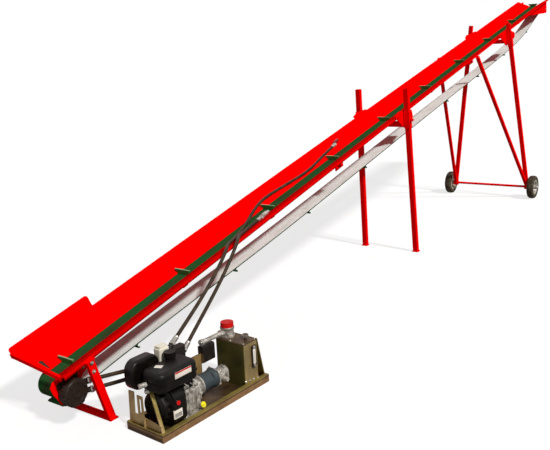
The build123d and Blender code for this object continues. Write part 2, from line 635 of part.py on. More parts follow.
# Recoil starter bowl and fan shroud, with two rings of air slots
BOWL = ((0, 0), (0, 58), (10, 74), (22, 80), (40, 80), (46, 95), (FAN_L - CLEAR, 95), (FAN_L - CLEAR, 0))
fan = turn_u([(FAN_U0 + u, r) for u, r in BOWL], CRANK_V, CRANK_W)
shroud = along_u(Pos(112, 115) * RectangleRounded(184, 166, 40), FAN_U0 + 50, CASE_U0 - CLEAR)
face_slot = Pos(FAN_U0 + 1, 0, 38) * Box(14, 9, 26)
side_slot = Pos(FAN_U0 + 27, 0, 78) * Box(20, 19, 16)
fan = fan + shroud
for cut in around_u(face_slot, 12, CRANK_V, CRANK_W) + around_u(side_slot, 14, CRANK_V, CRANK_W):
    fan = fan - cut
save("fan_housing", on_pack(fan))

# Fuel tank: two pressed halves with a seam, on a foot, and a fluted cap
TANK_U0 = FAN_U0 - 22.0
TANK_U1 = CASE_U1 - 30.0
TANK_V = (22.0, 164.0)
TANK_TOP = 312.0
SEAM_W = 256.0
tank_at = Pos((TANK_U0 + TANK_U1) / 2, (TANK_V[0] + TANK_V[1]) / 2)
tank_l = TANK_U1 - TANK_U0
tank_d = TANK_V[1] - TANK_V[0]
tank_low = upright(tank_at * RectangleRounded(tank_l, tank_d, 34), TANK_W0, SEAM_W)
tank_high = upright(tank_at * RectangleRounded(tank_l, tank_d, 34), SEAM_W, TANK_TOP)
tank_low = fillet(tank_low.faces().sort_by(Axis.Z)[0].edges(), 14)
tank_high = fillet(tank_high.faces().sort_by(Axis.Z)[-1].edges(), 24)
seam = upright(tank_at * RectangleRounded(tank_l + 12, tank_d + 8, 38), SEAM_W - 2, SEAM_W + 2)
tank_foot = upright(Pos(CASE_U0 + 50, 84) * RectangleRounded(80, 60, 10), 166 + CLEAR, TANK_W0 + 4)
CAP_U = FAN_U0 + 148.0
CAP_V = 134.0
cap = cyl_w(CAP_U, CAP_V, TANK_TOP - 2, TANK_TOP + 12, 24) + cyl_w(CAP_U, CAP_V, TANK_TOP + 10, TANK_TOP + 36, 29)
for k in range(12):
    cap = cap - Pos(CAP_U, CAP_V, TANK_TOP + 24) * Rot(0, 0, 30 * k) * Pos(30, 0, 0) * Cylinder(3.5, 30)
save("fuel_tank", on_pack(fuse([tank_low, tank_high, seam, tank_foot, cap])))

# Dome of the silencer cover and the tapered air filter, both behind the tank
BEHIND_V = (168.0, 222.0)
DOME_U0 = TRAY_U0 - 8.0
DOME_L = 176.0
DOME_W = (205.0, 352.0)
dome_plane = Plane(origin=(0, BEHIND_V[1], 0), x_dir=(1, 0, 0), z_dir=(0, -1, 0))
DOME_H = DOME_W[1] - DOME_W[0]
dome_middle = Pos(DOME_U0 + DOME_L / 2, DOME_W[0] + DOME_H / 2)
dome_sketch = dome_middle * RectangleRounded(DOME_L, DOME_H, 0.354 * DOME_H)
dome = extrude(dome_plane * dome_sketch, BEHIND_V[1] - BEHIND_V[0], dir=(0, -1, 0))
dome = fillet(dome.faces().sort_by(Axis.Y)[0].edges(), 14)
SLOT_PITCH = 0.122 * DOME_H
for k in range(5):
    slot_w = DOME_W[0] + 35 + SLOT_PITCH * k
    dome = dome - box(DOME_U0 + DOME_L - 26, DOME_U0 + DOME_L + 1, BEHIND_V[0] + 12, BEHIND_V[1] - 12, slot_w, slot_w + 7)
save("silencer_cover", on_pack(dome))
cleaner_at = Pos(DOME_U0 + DOME_L + 37, (BEHIND_V[0] + BEHIND_V[1]) / 2)
CLEANER_W = (DOME_W[0] + 35, DOME_W[1])
cleaner_foot = Pos(0, 0, CLEANER_W[0]) * cleaner_at * RectangleRounded(66, 38, 8)
cleaner_top = Pos(0, 0, CLEANER_W[1]) * cleaner_at * RectangleRounded(62, 52, 10)
cleaner_lid = upright(cleaner_at * RectangleRounded(54, 42, 8), CLEANER_W[1], CLEANER_W[1] + 14)
save("air_filter", on_pack(loft([cleaner_foot, cleaner_top]) + cleaner_lid))

# Bell housing with windows, gear pump with its near port
BELL = ((0, 0), (0, 52), (8, 52), (14, 46), (BELL_L - 14, 46), (BELL_L - 8, 50), (BELL_L - CLEAR, 50), (BELL_L - CLEAR, 0))
bell = turn_u([(NECK_U1 + CLEAR + u * (1 - CLEAR / BELL_L), r) for u, r in BELL], CRANK_V, CRANK_W)
for cut in around_u(Pos(NECK_U1 + BELL_L / 2, 0, 46) * Box(46, 34, 14), 4, CRANK_V, CRANK_W, 45):
    bell = bell - cut
save("bell_housing", on_pack(bell))
pump = fuse([
    along_u(Pos(CRANK_V, CRANK_W) * RectangleRounded(86, 86, 16), BELL_U1 + CLEAR, BELL_U1 + 14),
    along_u(Pos(CRANK_V, CRANK_W - 6) * RectangleRounded(64, 80, 30), BELL_U1 + 12, PUMP_U1 - 18),
    along_u(Pos(CRANK_V, CRANK_W - 6) * RectangleRounded(72, 86, 32), PUMP_U1 - 20, PUMP_U1),
    rod((PUMP_U1 - 42, CRANK_V - 20, CRANK_W - 12), (PUMP_U1 - 42, CRANK_V - 50, CRANK_W - 12), 15),
    rod((PUMP_U1 - 42, CRANK_V - 48, CRANK_W - 12), (PUMP_U1 - 42, CRANK_V - 66, CRANK_W - 12), 11)])
save("pump", on_pack(pump))

# Oil tank of folded sheet with a lid, level gauge and breather, and the return filter on it
OIL_V = (RIM_IN + 1.0, TRAY_W - RIM_IN - 1.0)
oil_at = Pos((OIL_U0 + OIL_U1) / 2, (OIL_V[0] + OIL_V[1]) / 2)
oil = upright(oil_at * RectangleRounded(OIL_L, OIL_V[1] - OIL_V[0], 7), FLOOR_W, OIL_TOP - 3)
oil = oil + upright(oil_at * RectangleRounded(OIL_L - 12, OIL_V[1] - OIL_V[0] - 12, 4), OIL_TOP - 4, OIL_TOP)
GAUGE_U = (OIL_U0 + OIL_U1) / 2 + 16
gauge_plane = Plane(origin=(GAUGE_U, OIL_V[0] + 1, 174), x_dir=(1, 0, 0), z_dir=(0, -1, 0))
gauge = extrude(gauge_plane * RectangleRounded(34, 124, 8), 11, dir=(0, -1, 0))
gauge = gauge - extrude(gauge_plane * RectangleRounded(14, 80, 6), 15, dir=(0, -1, 0)) + box(
    GAUGE_U - 12, GAUGE_U + 12, OIL_V[0] - 4, OIL_V[0] + 2, 130, 220)
BREATHER_U = OIL_U0 + 68.0
breather = cyl_w(BREATHER_U, 70, OIL_TOP - 1, OIL_TOP + 14, 9) + cyl_w(BREATHER_U, 70, OIL_TOP + 14, OIL_TOP + 30, 15)
save("oil_tank", on_pack(fuse([oil, gauge, breather])))
FILTER_U = OIL_U0 + 57.0
FILTER_V = 186.0
HEAD_W1 = OIL_TOP + 44.0
PIPE_W = OIL_TOP + 30.0
filter_at = Pos(FILTER_U, FILTER_V)
head = fuse([
    upright(filter_at * RegularPolygon(41, 8), OIL_TOP + CLEAR, OIL_TOP + 9),
    upright(filter_at * RegularPolygon(35, 8), OIL_TOP + 8, HEAD_W1),
    cyl_u(FILTER_U - 205, FILTER_U, FILTER_V, PIPE_W, 12.5),
    cyl_u(FILTER_U - 205, FILTER_U - 190, FILTER_V, PIPE_W, 17),
    along_u(Pos(FILTER_V, PIPE_W) * RegularPolygon(19, 6), FILTER_U - 62, FILTER_U - 40)])
save("filter_head", on_pack(head))
lid = cyl_w(FILTER_U, FILTER_V, HEAD_W1 + CLEAR, HEAD_W1 + 36, 35)
for k in range(16):
    lid = lid - Pos(FILTER_U, FILTER_V, HEAD_W1 + 24) * Rot(0, 0, 22.5 * k) * Pos(36.5, 0, 0) * Cylinder(3, 30)
save("filter_cap", on_pack(lid))

# Valve on its bracket behind the engine, with slanting ports for the feed hoses
VALVE_V = 245.0
VALVE_U0 = CASE_U1 - 10.0
VALVE_W = (204.0, 300.0)
DRIVE_U = VALVE_U0 - 6.5
DRIVE_W = (268.0, 232.0)
FEED_START = (pack_world(VALVE_U0 + 20, VALVE_V, 318), pack_world(VALVE_U0 + 100, VALVE_V, 258))
FEED_LIP = (world(1120, -235, 112), world(1230, -235, 112))
FEED_SAG = ((14, 25, 24), (10, 22, 24))


def hanging(start, end, sags):
    # points between start and end, hung below the straight line by the sags
    points = []
    for k, sag in enumerate(sags):
        x, y, z = between(start, end, (k + 1) / (len(sags) + 1))
        points.append((x, y, z - sag))
    return points


feed_runs = [[a] + hanging(a, b, sags) + [b] for a, b, sags in zip(FEED_START, FEED_LIP, FEED_SAG)]
bracket = [(VALVE_U0 + 15, TRAY_RIM), (BELL_U1 + 45, TRAY_RIM), (BELL_U1 + 45, 205), (BELL_U1 - 23, 205),
           (BELL_U1 - 23, 120), (VALVE_U0 + 75, 120), (VALVE_U0 + 75, VALVE_W[0] + 2), (VALVE_U0 + 15, VALVE_W[0] + 2)]
bracket_plane = Plane(origin=(0, 236, 0), x_dir=(1, 0, 0), z_dir=(0, -1, 0))
valve = [
    extrude(bracket_plane * Polygon(*bracket, align=None), 5, dir=(0, -1, 0)),
    along_u(Pos(VALVE_V, sum(VALVE_W) / 2) * RectangleRounded(40, VALVE_W[1] - VALVE_W[0], 6), VALVE_U0, VALVE_U0 + 90),
    Pos(BELL_U1 + 12, 231, 100) * Rot(90, 0, 0) * Cylinder(26, 12),
    along_u(Pos(231, 197) * RectangleRounded(38, 94, 10), BELL_U1 + 42, BELL_U1 + 130)]
valve = valve + [cyl_u(DRIVE_U, VALVE_U0 + 2, VALVE_V, w, 14) for w in DRIVE_W]
valve = on_pack(fuse(valve))
for run in feed_runs:
    reach = math.dist(run[0], run[1])
    valve = valve + rod(between(run[0], run[1], -34 / reach), between(run[0], run[1], -CLEAR / reach), 13)
save("valve_block", valve)

# Hoses: straight runs joined by tangent arcs
HOSE_R = 10.0


def hose(name, points):
    runs = [math.dist(a, b) for a, b in zip(points[:-1], points[1:])]
    radii = []
    for i in range(1, len(points) - 1):
        a = Vector(*points[i]) - Vector(*points[i - 1])
        b = Vector(*points[i + 1]) - Vector(*points[i])
        turn = math.radians(a.get_angle(b))
        radii.append(0.45 * min(runs[i - 1], runs[i]) / math.tan(turn / 2))
    path = FilletPolyline(*points, radius=radii)
    plane = Plane(origin=path @ 0, z_dir=path % 0)
    tube = sweep(plane * Circle(HOSE_R), path=path, transition=Transition.ROUND)
    length = path.length
    expected = math.pi * HOSE_R * HOSE_R * length
    print(name, "length", round(length), "radii", [round(r) for r in radii],
          "volume ratio", round(tube.volume / expected, 4))
    save(name, tube)
    return length


def port(n, reach):
    x, _, z = world(PORT_S, 0, n)
    turn = math.radians(PORT_TURN)
    return (x + reach * math.cos(turn), PORT_Y - reach * math.sin(turn), z)


# on the near wall the hoses lie beside the cleats, on the far wall too
REST = HOSE_R / WALL_COS + 0.3


def on_wall(s, y):
    return world(s, y, wall_n(y) + REST)


HOSES = {}
for key, n, w in (("motor_hose_a", PORT_N[0], DRIVE_W[0]), ("motor_hose_b", PORT_N[1], DRIVE_W[1])):
    start = port(n, 40.3)
    turn = port(n, 40.3 + 130.0)
    before = pack_world(168, VALVE_V, w)
    end = pack_world(DRIVE_U - CLEAR, VALVE_V, w)
    HOSES[key] = [start, turn, before, end]


feed_a = feed_runs[0] + [
    world(1215, -165, 94), on_wall(1360, -98), world(1500, -38, 26), world(1640, 10, 20),
    on_wall(1790, 60), on_wall(1940, 84), on_wall(2200, 98), on_wall(2460, 80), on_wall(2720, 79),
    on_wall(2950, 98)]
feed_b = feed_runs[1] + [world(1325, -165, 94), on_wall(1460, -110), on_wall(1570, -84), on_wall(1680, -82)]
HOSES["feed_hose_a"] = feed_a
HOSES["feed_hose_b"] = feed_b
for key, points in HOSES.items():
    hose(key, points)

couplers = []
for key in ("feed_hose_a", "feed_hose_b"):
    a = Vector(*HOSES[key][-2])
    b = Vector(*HOSES[key][-1])
    along = (b - a).normalized()
    start = b + along * 0.3
    mid = start + along * 52
    end = mid + along * 22
    lift = Vector(0, 0, 4.5)
    start, mid, end = start + lift, mid + lift, end + lift
    couplers.append(rod(tuple(start), tuple(mid), 14.0) + rod(tuple(mid), tuple(end), 10.0))
save("hose_couplers", fuse(couplers))
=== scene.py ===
# %% [markdown]
# A firewood conveyor in Blender. The real machine is a folded red steel trough, eight metres
# long, that carries split logs up a green rubber belt, with a small petrol engine and an oil
# pump standing beside its foot. The CAD frame brings the true solids in metres. This lesson
# gives them their finishes and adds what a solid model leaves out, such as bolts, hoses,
# ribs, gauges and wear.

# %% Frame
import json
import math

import bmesh
import bpy
from mathutils import Matrix, Vector


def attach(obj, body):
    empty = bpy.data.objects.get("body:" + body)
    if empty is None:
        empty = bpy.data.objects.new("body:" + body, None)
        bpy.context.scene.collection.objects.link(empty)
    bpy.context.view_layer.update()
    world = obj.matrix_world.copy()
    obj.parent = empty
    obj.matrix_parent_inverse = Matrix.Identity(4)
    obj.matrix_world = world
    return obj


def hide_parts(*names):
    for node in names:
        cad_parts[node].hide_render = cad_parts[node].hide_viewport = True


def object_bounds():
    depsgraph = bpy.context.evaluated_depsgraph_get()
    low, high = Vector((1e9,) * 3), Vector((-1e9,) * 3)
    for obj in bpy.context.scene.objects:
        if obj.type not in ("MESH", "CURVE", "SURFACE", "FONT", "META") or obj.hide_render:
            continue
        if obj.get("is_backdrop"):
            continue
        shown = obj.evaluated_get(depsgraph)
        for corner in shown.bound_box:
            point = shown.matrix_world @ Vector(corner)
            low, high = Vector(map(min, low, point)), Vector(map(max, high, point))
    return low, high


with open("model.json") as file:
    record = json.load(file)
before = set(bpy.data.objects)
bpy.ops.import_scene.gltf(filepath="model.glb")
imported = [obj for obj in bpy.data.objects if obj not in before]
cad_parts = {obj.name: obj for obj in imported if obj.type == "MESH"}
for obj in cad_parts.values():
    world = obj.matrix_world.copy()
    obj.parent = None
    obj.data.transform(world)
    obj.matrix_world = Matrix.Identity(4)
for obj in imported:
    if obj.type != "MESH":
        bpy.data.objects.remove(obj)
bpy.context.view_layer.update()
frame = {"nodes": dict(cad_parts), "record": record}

scene = bpy.context.scene
nodes = frame["nodes"]
print("nodes in the frame:", len(nodes))

# %% [markdown]
# Places on the machine are easier to give in the trough's own directions: along the slope,
# across it and above its floor. The power pack stands a little askew on the ground, so it has
# its own frame too. Both are plain matrices, and each piece is made in one of them.

# %% Frames of reference
SLOPE, PACK_TURN = math.radians(14.0), math.radians(3.1)
TROUGH_AT, PACK_AT = Vector((-0.165, 0.0, 0.257)), Vector((-0.071, -0.576, 0.0))
TROUGH = Matrix.Translation(TROUGH_AT) @ Matrix.Rotation(-SLOPE, 4, "Y")
PACK = Matrix.Translation(PACK_AT) @ Matrix.Rotation(-PACK_TURN, 4, "Z")
GROUND = Matrix.Identity(4)
NEARWARD, FARWARD, UP = (0, -1, 0), (0, 1, 0), (0, 0, 1)
ALONG, BACK = (1, 0, 0), (-1, 0, 0)


def on_trough(s, y, n):
    return TROUGH @ Vector((s, y, n))


def on_pack(u, v, w):
    return PACK @ Vector((u, v, w))


# %% [markdown]
# The camera stands where the photographer stood: to the left of the foot and about as high as
# a person's eyes. Its place and turn were found by matching corners of the machine, so they
# are given as numbers here and not by pointing it at something.

# %% Camera
FOCAL_PIXELS = 706.176
FRAME_WIDTH = 550.0
SENSOR = 36.0
CAMERA_AT = Vector((-2.0851, -2.721, 1.6682))
YAW, PITCH, ROLL = 0.6224, 0.2271, -0.0468

flat = math.cos(PITCH)
forward = Vector((math.cos(YAW) * flat, math.sin(YAW) * flat, -math.sin(PITCH)))
level = forward.cross(Vector(UP)).normalized()
upward = level.cross(forward)
right = math.cos(ROLL) * level + math.sin(ROLL) * upward
top = math.cos(ROLL) * upward - math.sin(ROLL) * level

lens = bpy.data.cameras.new("camera")
lens.sensor_fit = "HORIZONTAL"
lens.sensor_width = SENSOR
lens.lens = SENSOR * FOCAL_PIXELS / FRAME_WIDTH
lens.clip_end = 200.0
camera = bpy.data.objects.new("camera", lens)
scene.collection.objects.link(camera)
turn = Matrix((right, top, -forward)).transposed().to_4x4()
camera.matrix_world = Matrix.Translation(CAMERA_AT) @ turn
scene.camera = camera
print("lens", round(lens.lens, 2), "mm")

# %% [markdown]
# Materials are written as sums. A Field stands for one socket of a material's tree, and adding
# or multiplying two fields adds a Math node, so a mask reads like its formula. Every other node
# comes from the one method called node.


# %% Shader sums
class Field:
    def __init__(self, finish, socket):
        self.finish = finish
        self.socket = socket

    def sum(self, operation, *values):
        sockets = dict(enumerate(values))
        return self.finish.node("ShaderNodeMath", {"operation": operation}, sockets)

    def __add__(self, other):
        return self.sum("ADD", self, other)

    def __sub__(self, other):
        return self.sum("SUBTRACT", self, other)

    def __rsub__(self, other):
        return self.sum("SUBTRACT", other, self)

    def __mul__(self, other):
        return self.sum("MULTIPLY", self, other)

    __radd__ = __add__
    __rmul__ = __mul__

    def between(self, low, high):
        """0 below low, 1 above high and a straight climb from one to the other."""
        sockets = {"Value": self, "From Min": low, "From Max": high}
        return self.finish.node("ShaderNodeMapRange", {}, sockets)

    def band(self, climb, fall):
        """1 between two heights, with the climb and the fall each given by its two ends."""
        return self.between(*climb) * (1 - self.between(*fall))


def rgb(red, green, blue):
    """A colour as it looks on screen, from 0 to 255, as the linear values Blender wants."""
    linear = []
    for value in (red, green, blue):
        share = value / 255.0
        linear.append(share / 12.92 if share <= 0.04045 else ((share + 0.055) / 1.055) ** 2.4)
    return (*linear, 1.0)


finishes = {}


class Finish:
    def __init__(self, name):
        self.name = name
        self.material = bpy.data.materials.new(name)
        self.material.use_nodes = True
        self.tree = self.material.node_tree
        self.tree.nodes.clear()
        self.place = self.node("ShaderNodeTexCoord", out="Object")

    def node(self, kind, settings=None, sockets=None, out=0):
        made = self.tree.nodes.new(kind)
        for key, value in (settings or {}).items():
            setattr(made, key, value)
        for key, value in (sockets or {}).items():
            if isinstance(value, Field):
                self.tree.links.new(value.socket, made.inputs[key])
            else:
                made.inputs[key].default_value = value
        return Field(self, made.outputs[out]) if len(made.outputs) else None

    def stretched(self, scale, where=None):
        return self.node("ShaderNodeMapping", {}, {"Vector": where or self.place, "Scale": scale})

    def noise(self, scale, detail=3.0, where=None):
        sockets = {"Vector": where or self.place, "Scale": scale, "Detail": detail}
        return self.node("ShaderNodeTexNoise", {}, sockets)

    def mix(self, mask, first, second):
        return self.node("ShaderNodeMix", {"data_type": "RGBA"}, {0: mask, 6: first, 7: second}, 2)

    def bump(self, height, distance):
        return self.node("ShaderNodeBump", {}, {"Height": height, "Distance": distance})

    def close(self, colour, roughness, metallic=0.0, normal=None, **plain):
        sockets = {"Base Color": colour, "Roughness": roughness, "Metallic": metallic}
        for key, value in plain.items():
            sockets[key.replace("_", " ")] = value
        if normal is not None:
            sockets["Normal"] = normal
        shader = self.node("ShaderNodeBsdfPrincipled", {}, sockets)
        self.node("ShaderNodeOutputMaterial", {}, {"Surface": shader})
        finishes[self.name] = self.material

# %% [markdown]
# The background of the picture is white. The world is white only for rays that the camera,
# mirrors and glass look along, and a calm grey for the light that reaches the machine. One
# wide, soft sun stands where the photograph's sun stood, so that the shadows fall the same way.

# %% Light
scene.view_settings.view_transform = "Standard"
SKY_LEVEL = 0.23
SUN_LEVEL = 3.1
SUN_SOFTNESS = math.radians(6.0)
SUN_TRAVEL = Vector((0.186, 0.69, -0.7))

world = bpy.data.worlds.new("studio")
world.use_nodes = True
sky = world.node_tree
sky.nodes.clear()
ray = sky.nodes.new("ShaderNodeLightPath")
seen = ray.outputs["Is Camera Ray"]
for kind in ("Is Glossy Ray", "Is Transmission Ray"):
    either = sky.nodes.new("ShaderNodeMath")
    either.operation = "MAXIMUM"
    sky.links.new(seen, either.inputs[0])
    sky.links.new(ray.outputs[kind], either.inputs[1])
    seen = either.outputs[0]
brightness = sky.nodes.new("ShaderNodeMapRange")
brightness.inputs["To Min"].default_value = SKY_LEVEL
sky.links.new(seen, brightness.inputs["Value"])
light = sky.nodes.new("ShaderNodeBackground")
light.inputs["Color"].default_value = (1.0, 1.0, 1.0, 1.0)
sky.links.new(brightness.outputs["Result"], light.inputs["Strength"])
sky.links.new(light.outputs[0], sky.nodes.new("ShaderNodeOutputWorld").inputs["Surface"])
scene.world = world

sun_lamp = bpy.data.lights.new("sun", "SUN")
sun_lamp.energy = SUN_LEVEL
sun_lamp.angle = SUN_SOFTNESS
sun = bpy.data.objects.new("sun", sun_lamp)
scene.collection.objects.link(sun)
sun.rotation_mode = "QUATERNION"
sun.rotation_quaternion = SUN_TRAVEL.to_track_quat("-Z", "Y")

# %% [markdown]
# The floor is a pale sheet. Its own colour catches the machine's shadow, and a little glow
# that only the camera sees lifts the rest of it to the white of the background.

# %% Floor
FLOOR_HALF, FLOOR_DROP = 60.0, 0.001
FLOOR_GLOW = 0.74
floor_finish = Finish("pale floor")
pale = floor_finish.node("ShaderNodeBsdfDiffuse", {}, {"Color": rgb(150, 149, 148)})
looked = floor_finish.node("ShaderNodeLightPath", out="Is Camera Ray")
glow = floor_finish.node("ShaderNodeEmission", {}, {"Strength": looked * FLOOR_GLOW})
both = floor_finish.node("ShaderNodeAddShader", {}, {0: pale, 1: glow})
floor_finish.node("ShaderNodeOutputMaterial", {}, {"Surface": both})

floor_mesh = bpy.data.meshes.new("floor")
corners = [(x * FLOOR_HALF, y * FLOOR_HALF, -FLOOR_DROP) for x, y in ((-1, -1), (1, -1), (1, 1), (-1, 1))]
floor_mesh.from_pydata(corners, [], [(0, 1, 2, 3)])
floor_mesh.materials.append(floor_finish.material)
floor = bpy.data.objects.new("floor", floor_mesh)
scene.collection.objects.link(floor)
floor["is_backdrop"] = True

# %% [markdown]
# Red enamel is sprayed on folded steel. It is even and bright, with a faint orange-peel
# surface, and slightly deeper in colour where logs rub and dust has dried. The red has no
# reflection at all, because a white one would turn it pink.


# %% Painted metal
def painted(name, colour, dust, shine=0.38, peel=0.00012, gloss=0.12):
    finish = Finish(name)
    patches = finish.noise(3.2, 5.0).between(0.52, 0.75)
    rub = finish.noise(1.0, 4.0, finish.stretched((2.0, 26.0, 26.0))).between(0.55, 0.8)
    worn = finish.mix(patches * 0.3 + rub * 0.2, colour, dust)
    grain = finish.noise(420.0, 2.0)
    rough = patches * 0.16 + rub * 0.08 + shine
    finish.close(worn, rough, normal=finish.bump(grain, peel), Specular_IOR_Level=gloss)


painted("red_paint", rgb(255, 0, 0), rgb(206, 0, 0), gloss=0.0)
painted("motor_black", rgb(44, 34, 28), rgb(76, 66, 54), 0.42)
painted("slate_paint", rgb(52, 60, 64), rgb(84, 84, 76), 0.44, gloss=0.3)
painted("rim_grey", rgb(190, 182, 168), rgb(120, 108, 92), 0.42)

# %% [markdown]
# The belt is a rubber and fabric sandwich. Its carrying face is dark green and grimy from bark,
# and its running face is pale cloth. Both need the trough's direction, so their pattern is
# turned by the slope: a fine weave across, and stains drawn out along the run. The return run
# shows its pale face upwards. There a mask of the surface's own direction keeps the carrying
# face and the cleats green, and a second mask darkens the cut edges.


# %% Belt
def parts_of(finish, vector):
    """The three numbers of a vector as fields, for sums."""
    split = finish.node("ShaderNodeSeparateXYZ", {}, {"Vector": vector})
    return [Field(finish, split.socket.node.outputs[axis]) for axis in ("X", "Y", "Z")]


def weave(finish, where, pitch):
    turns = 2.0 * math.pi / pitch
    across = parts_of(finish, where)[:2]
    waves = [place.sum("SINE", place * turns) for place in across]
    return waves[0] * waves[1]


def level_with(finish, at, turn):
    """Object coordinates measured from a place and turned level with its own directions."""
    moved = finish.node("ShaderNodeMapping", {}, {"Vector": finish.place, "Location": -at})
    return finish.node("ShaderNodeMapping", {}, {"Vector": moved, "Rotation": turn})


def in_trough(finish):
    return level_with(finish, TROUGH_AT, (0, SLOPE, 0))


def belt_cloth(name, colour, stain, mark, pitch, share):
    finish = Finish(name)
    along = in_trough(finish)
    soil = finish.noise(2.6, 6.0, finish.stretched((1.6, 7.0, 7.0), along)).between(0.45, 0.72)
    specks = finish.noise(95.0, 4.0, along).between(0.62, 0.72)
    threads = weave(finish, along, pitch)
    dirty = finish.mix(soil * share, colour, stain)
    dirty = finish.mix(specks * 0.5, dirty, mark)
    return finish, along, dirty, soil, threads + specks * 0.6


def belt_close(finish, colour, soil, relief):
    bumps = finish.bump(relief, 0.00035)
    finish.close(colour, soil * 0.2 + 0.6, normal=bumps, Specular_IOR_Level=0.0)


GREEN, GREEN_STAIN, GREEN_MARK = rgb(40, 84, 42), rgb(62, 48, 38), rgb(26, 44, 26)
# The cleats are painted a lighter green than the belt, as painted light: their faces towards the foot get
# little sun and would otherwise look darker than the belt.
CLEAT_GREEN_PAINTED_LIGHT, CLEAT_PALE = rgb(70, 140, 66), rgb(140, 166, 128)
CLEAT_FOOT, CLEAT_PALE_FROM, CLEAT_TOP = (0.0072, 0.0076), (0.0355, 0.0362), (0.04, 0.041)

finish, along, dirty, soil, relief = belt_cloth("green_belt", GREEN, GREEN_STAIN, GREEN_MARK, 0.006, 0.7)
height = parts_of(finish, along)[2]
cleats = finish.mix(height.band(CLEAT_FOOT, CLEAT_TOP), dirty, CLEAT_GREEN_PAINTED_LIGHT)
# The top few millimetres of each cleat are paler.
cleats = finish.mix(height.band(CLEAT_PALE_FROM, CLEAT_TOP), cleats, CLEAT_PALE)
belt_close(finish, cleats, soil, relief)

# The pale cloth is tinted cool, a painted correction that cancels the red light the trough bounces onto the
# return run.
PALE, PALE_STAIN, PALE_MARK = rgb(226, 236, 230), rgb(190, 200, 188), rgb(176, 170, 150)
finish, along, dirty, soil, relief = belt_cloth("pale_belt", PALE, PALE_STAIN, PALE_MARK, 0.004, 0.6)
across = parts_of(finish, along)[1]
edge = across.sum("ABSOLUTE", across).between(0.0615, 0.0625)
facing_up = parts_of(finish, finish.node("ShaderNodeNewGeometry", out="Normal"))[2].between(0.5, 0.6)
cloth = finish.mix(edge * 0.75, dirty, rgb(92, 84, 76))
cloth = finish.mix(facing_up, GREEN, cloth)
belt_close(finish, cloth, soil, relief)

# %% [markdown]
# Bright metals differ mostly in how rough they are and how the light is broken up. Zinc plate
# has pale and brassy clouds, cast alloy has a fine sandy skin, and bare steel is the smoothest.
# The tray is plated too, but years of oil have browned its front and its floor, so its colour
# also depends on the height above the ground, measured in the power pack's own directions. A
# dark band under the tray's rim is painted shade, and the oil tank's left face is painted
# darker as a painted reflection.


# %% Bare and plated metal
def in_pack(finish):
    """Distances along, across and above the power pack."""
    return parts_of(finish, level_with(finish, PACK_AT, (0, 0, PACK_TURN)))


def plated(name, cloud=14.0, grain=260.0):
    finish = Finish(name)
    clouds = finish.noise(cloud, 4.0).between(0.35, 0.68)
    return finish, clouds, finish.noise(grain, 3.0)


def metal_close(finish, tone, clouds, fine, rough=0.3, share=0.55, depth=0.00012):
    finish.close(tone, fine * 0.14 + clouds * 0.1 + rough, share, finish.bump(fine, depth))


METALS = {
    # finish: two colours, size of the clouds and of the grain, roughness, share of metal, depth
    "bare_steel": (rgb(196, 192, 184), rgb(146, 140, 130), 22.0, 320.0, 0.22, 0.8, 0.0001),
    "cast_alloy": (rgb(206, 200, 190), rgb(128, 120, 110), 42.0, 700.0, 0.42, 0.6, 0.0003),
}
for name, (colour, second, cloud, grain, *rest) in METALS.items():
    finish, clouds, fine = plated(name, cloud, grain)
    metal_close(finish, finish.mix(clouds, colour, second), clouds, fine, *rest)

finish, clouds, fine = plated("zinc_yellow")
u, v, w = in_pack(finish)
gold = finish.mix(clouds, rgb(172, 152, 84), rgb(124, 104, 52))
brown = finish.mix(clouds, rgb(184, 142, 98), rgb(134, 98, 64))
# A dark band under the rim's fold is painted shade.
painted_fold_shade = w.band((0.0295, 0.031), (0.0355, 0.0365))
brown = finish.mix(painted_fold_shade * 0.85, brown, rgb(62, 36, 20))
oily = finish.mix(clouds, rgb(100, 76, 46), rgb(56, 42, 26))
tone = finish.mix(w.between(0.036, 0.0375), brown, gold)
plates_gold = finish.mix(clouds, rgb(196, 168, 118), rgb(152, 122, 78))
tone = finish.mix(w.between(0.0425, 0.0435) * (1 - u.between(0.05, 0.052)), tone, plates_gold)
inside = v.band((0.0045, 0.006), (0.242, 0.2435)) * (1 - w.between(0.0165, 0.03))
tone = finish.mix(inside, tone, oily)
metal_close(finish, tone, clouds, fine)

finish, clouds, fine = plated("olive_zinc", cloud=9.0)
u, v, w = in_pack(finish)
olive = finish.mix(clouds, rgb(176, 152, 104), rgb(128, 110, 70))
# The left face is painted darker, a painted reflection of dark surroundings.
painted_dark_reflection = finish.mix(clouds, rgb(104, 100, 48), rgb(70, 68, 30))
lid = finish.mix(clouds, rgb(104, 84, 58), rgb(60, 46, 30))
tone = finish.mix(1 - u.between(0.6355, 0.638), olive, painted_dark_reflection)
tone = finish.mix(w.between(0.2515, 0.2525), tone, lid)
gauge_back = (1 - v.between(0.0205, 0.0235)) * w.between(0.105, 0.107) * u.between(0.64, 0.642)
tone = finish.mix(gauge_back, tone, rgb(44, 38, 30))
metal_close(finish, tone, clouds, fine)

# %% [markdown]
# The valve is black with dust on it, but the bracket that holds it is plated like the tray.
# Both are one solid in the frame, so one material tells them apart by their place.

# %% Valve and bracket
finish, clouds, fine = plated("valve_black")
u, v, w = in_pack(finish)
black = finish.mix(finish.noise(30.0, 5.0).between(0.5, 0.8) * 0.4, rgb(30, 24, 20), rgb(84, 70, 54))
gold = finish.mix(clouds, rgb(176, 146, 92), rgb(128, 100, 60))
below = (1 - w.between(0.2035, 0.2045)) * (1 - u.between(0.526, 0.5275))
finish.close(finish.mix(below, black, gold), fine * 0.14 + 0.42, below * 0.5, finish.bump(fine, 0.0002),
             Specular_IOR_Level=0.3)

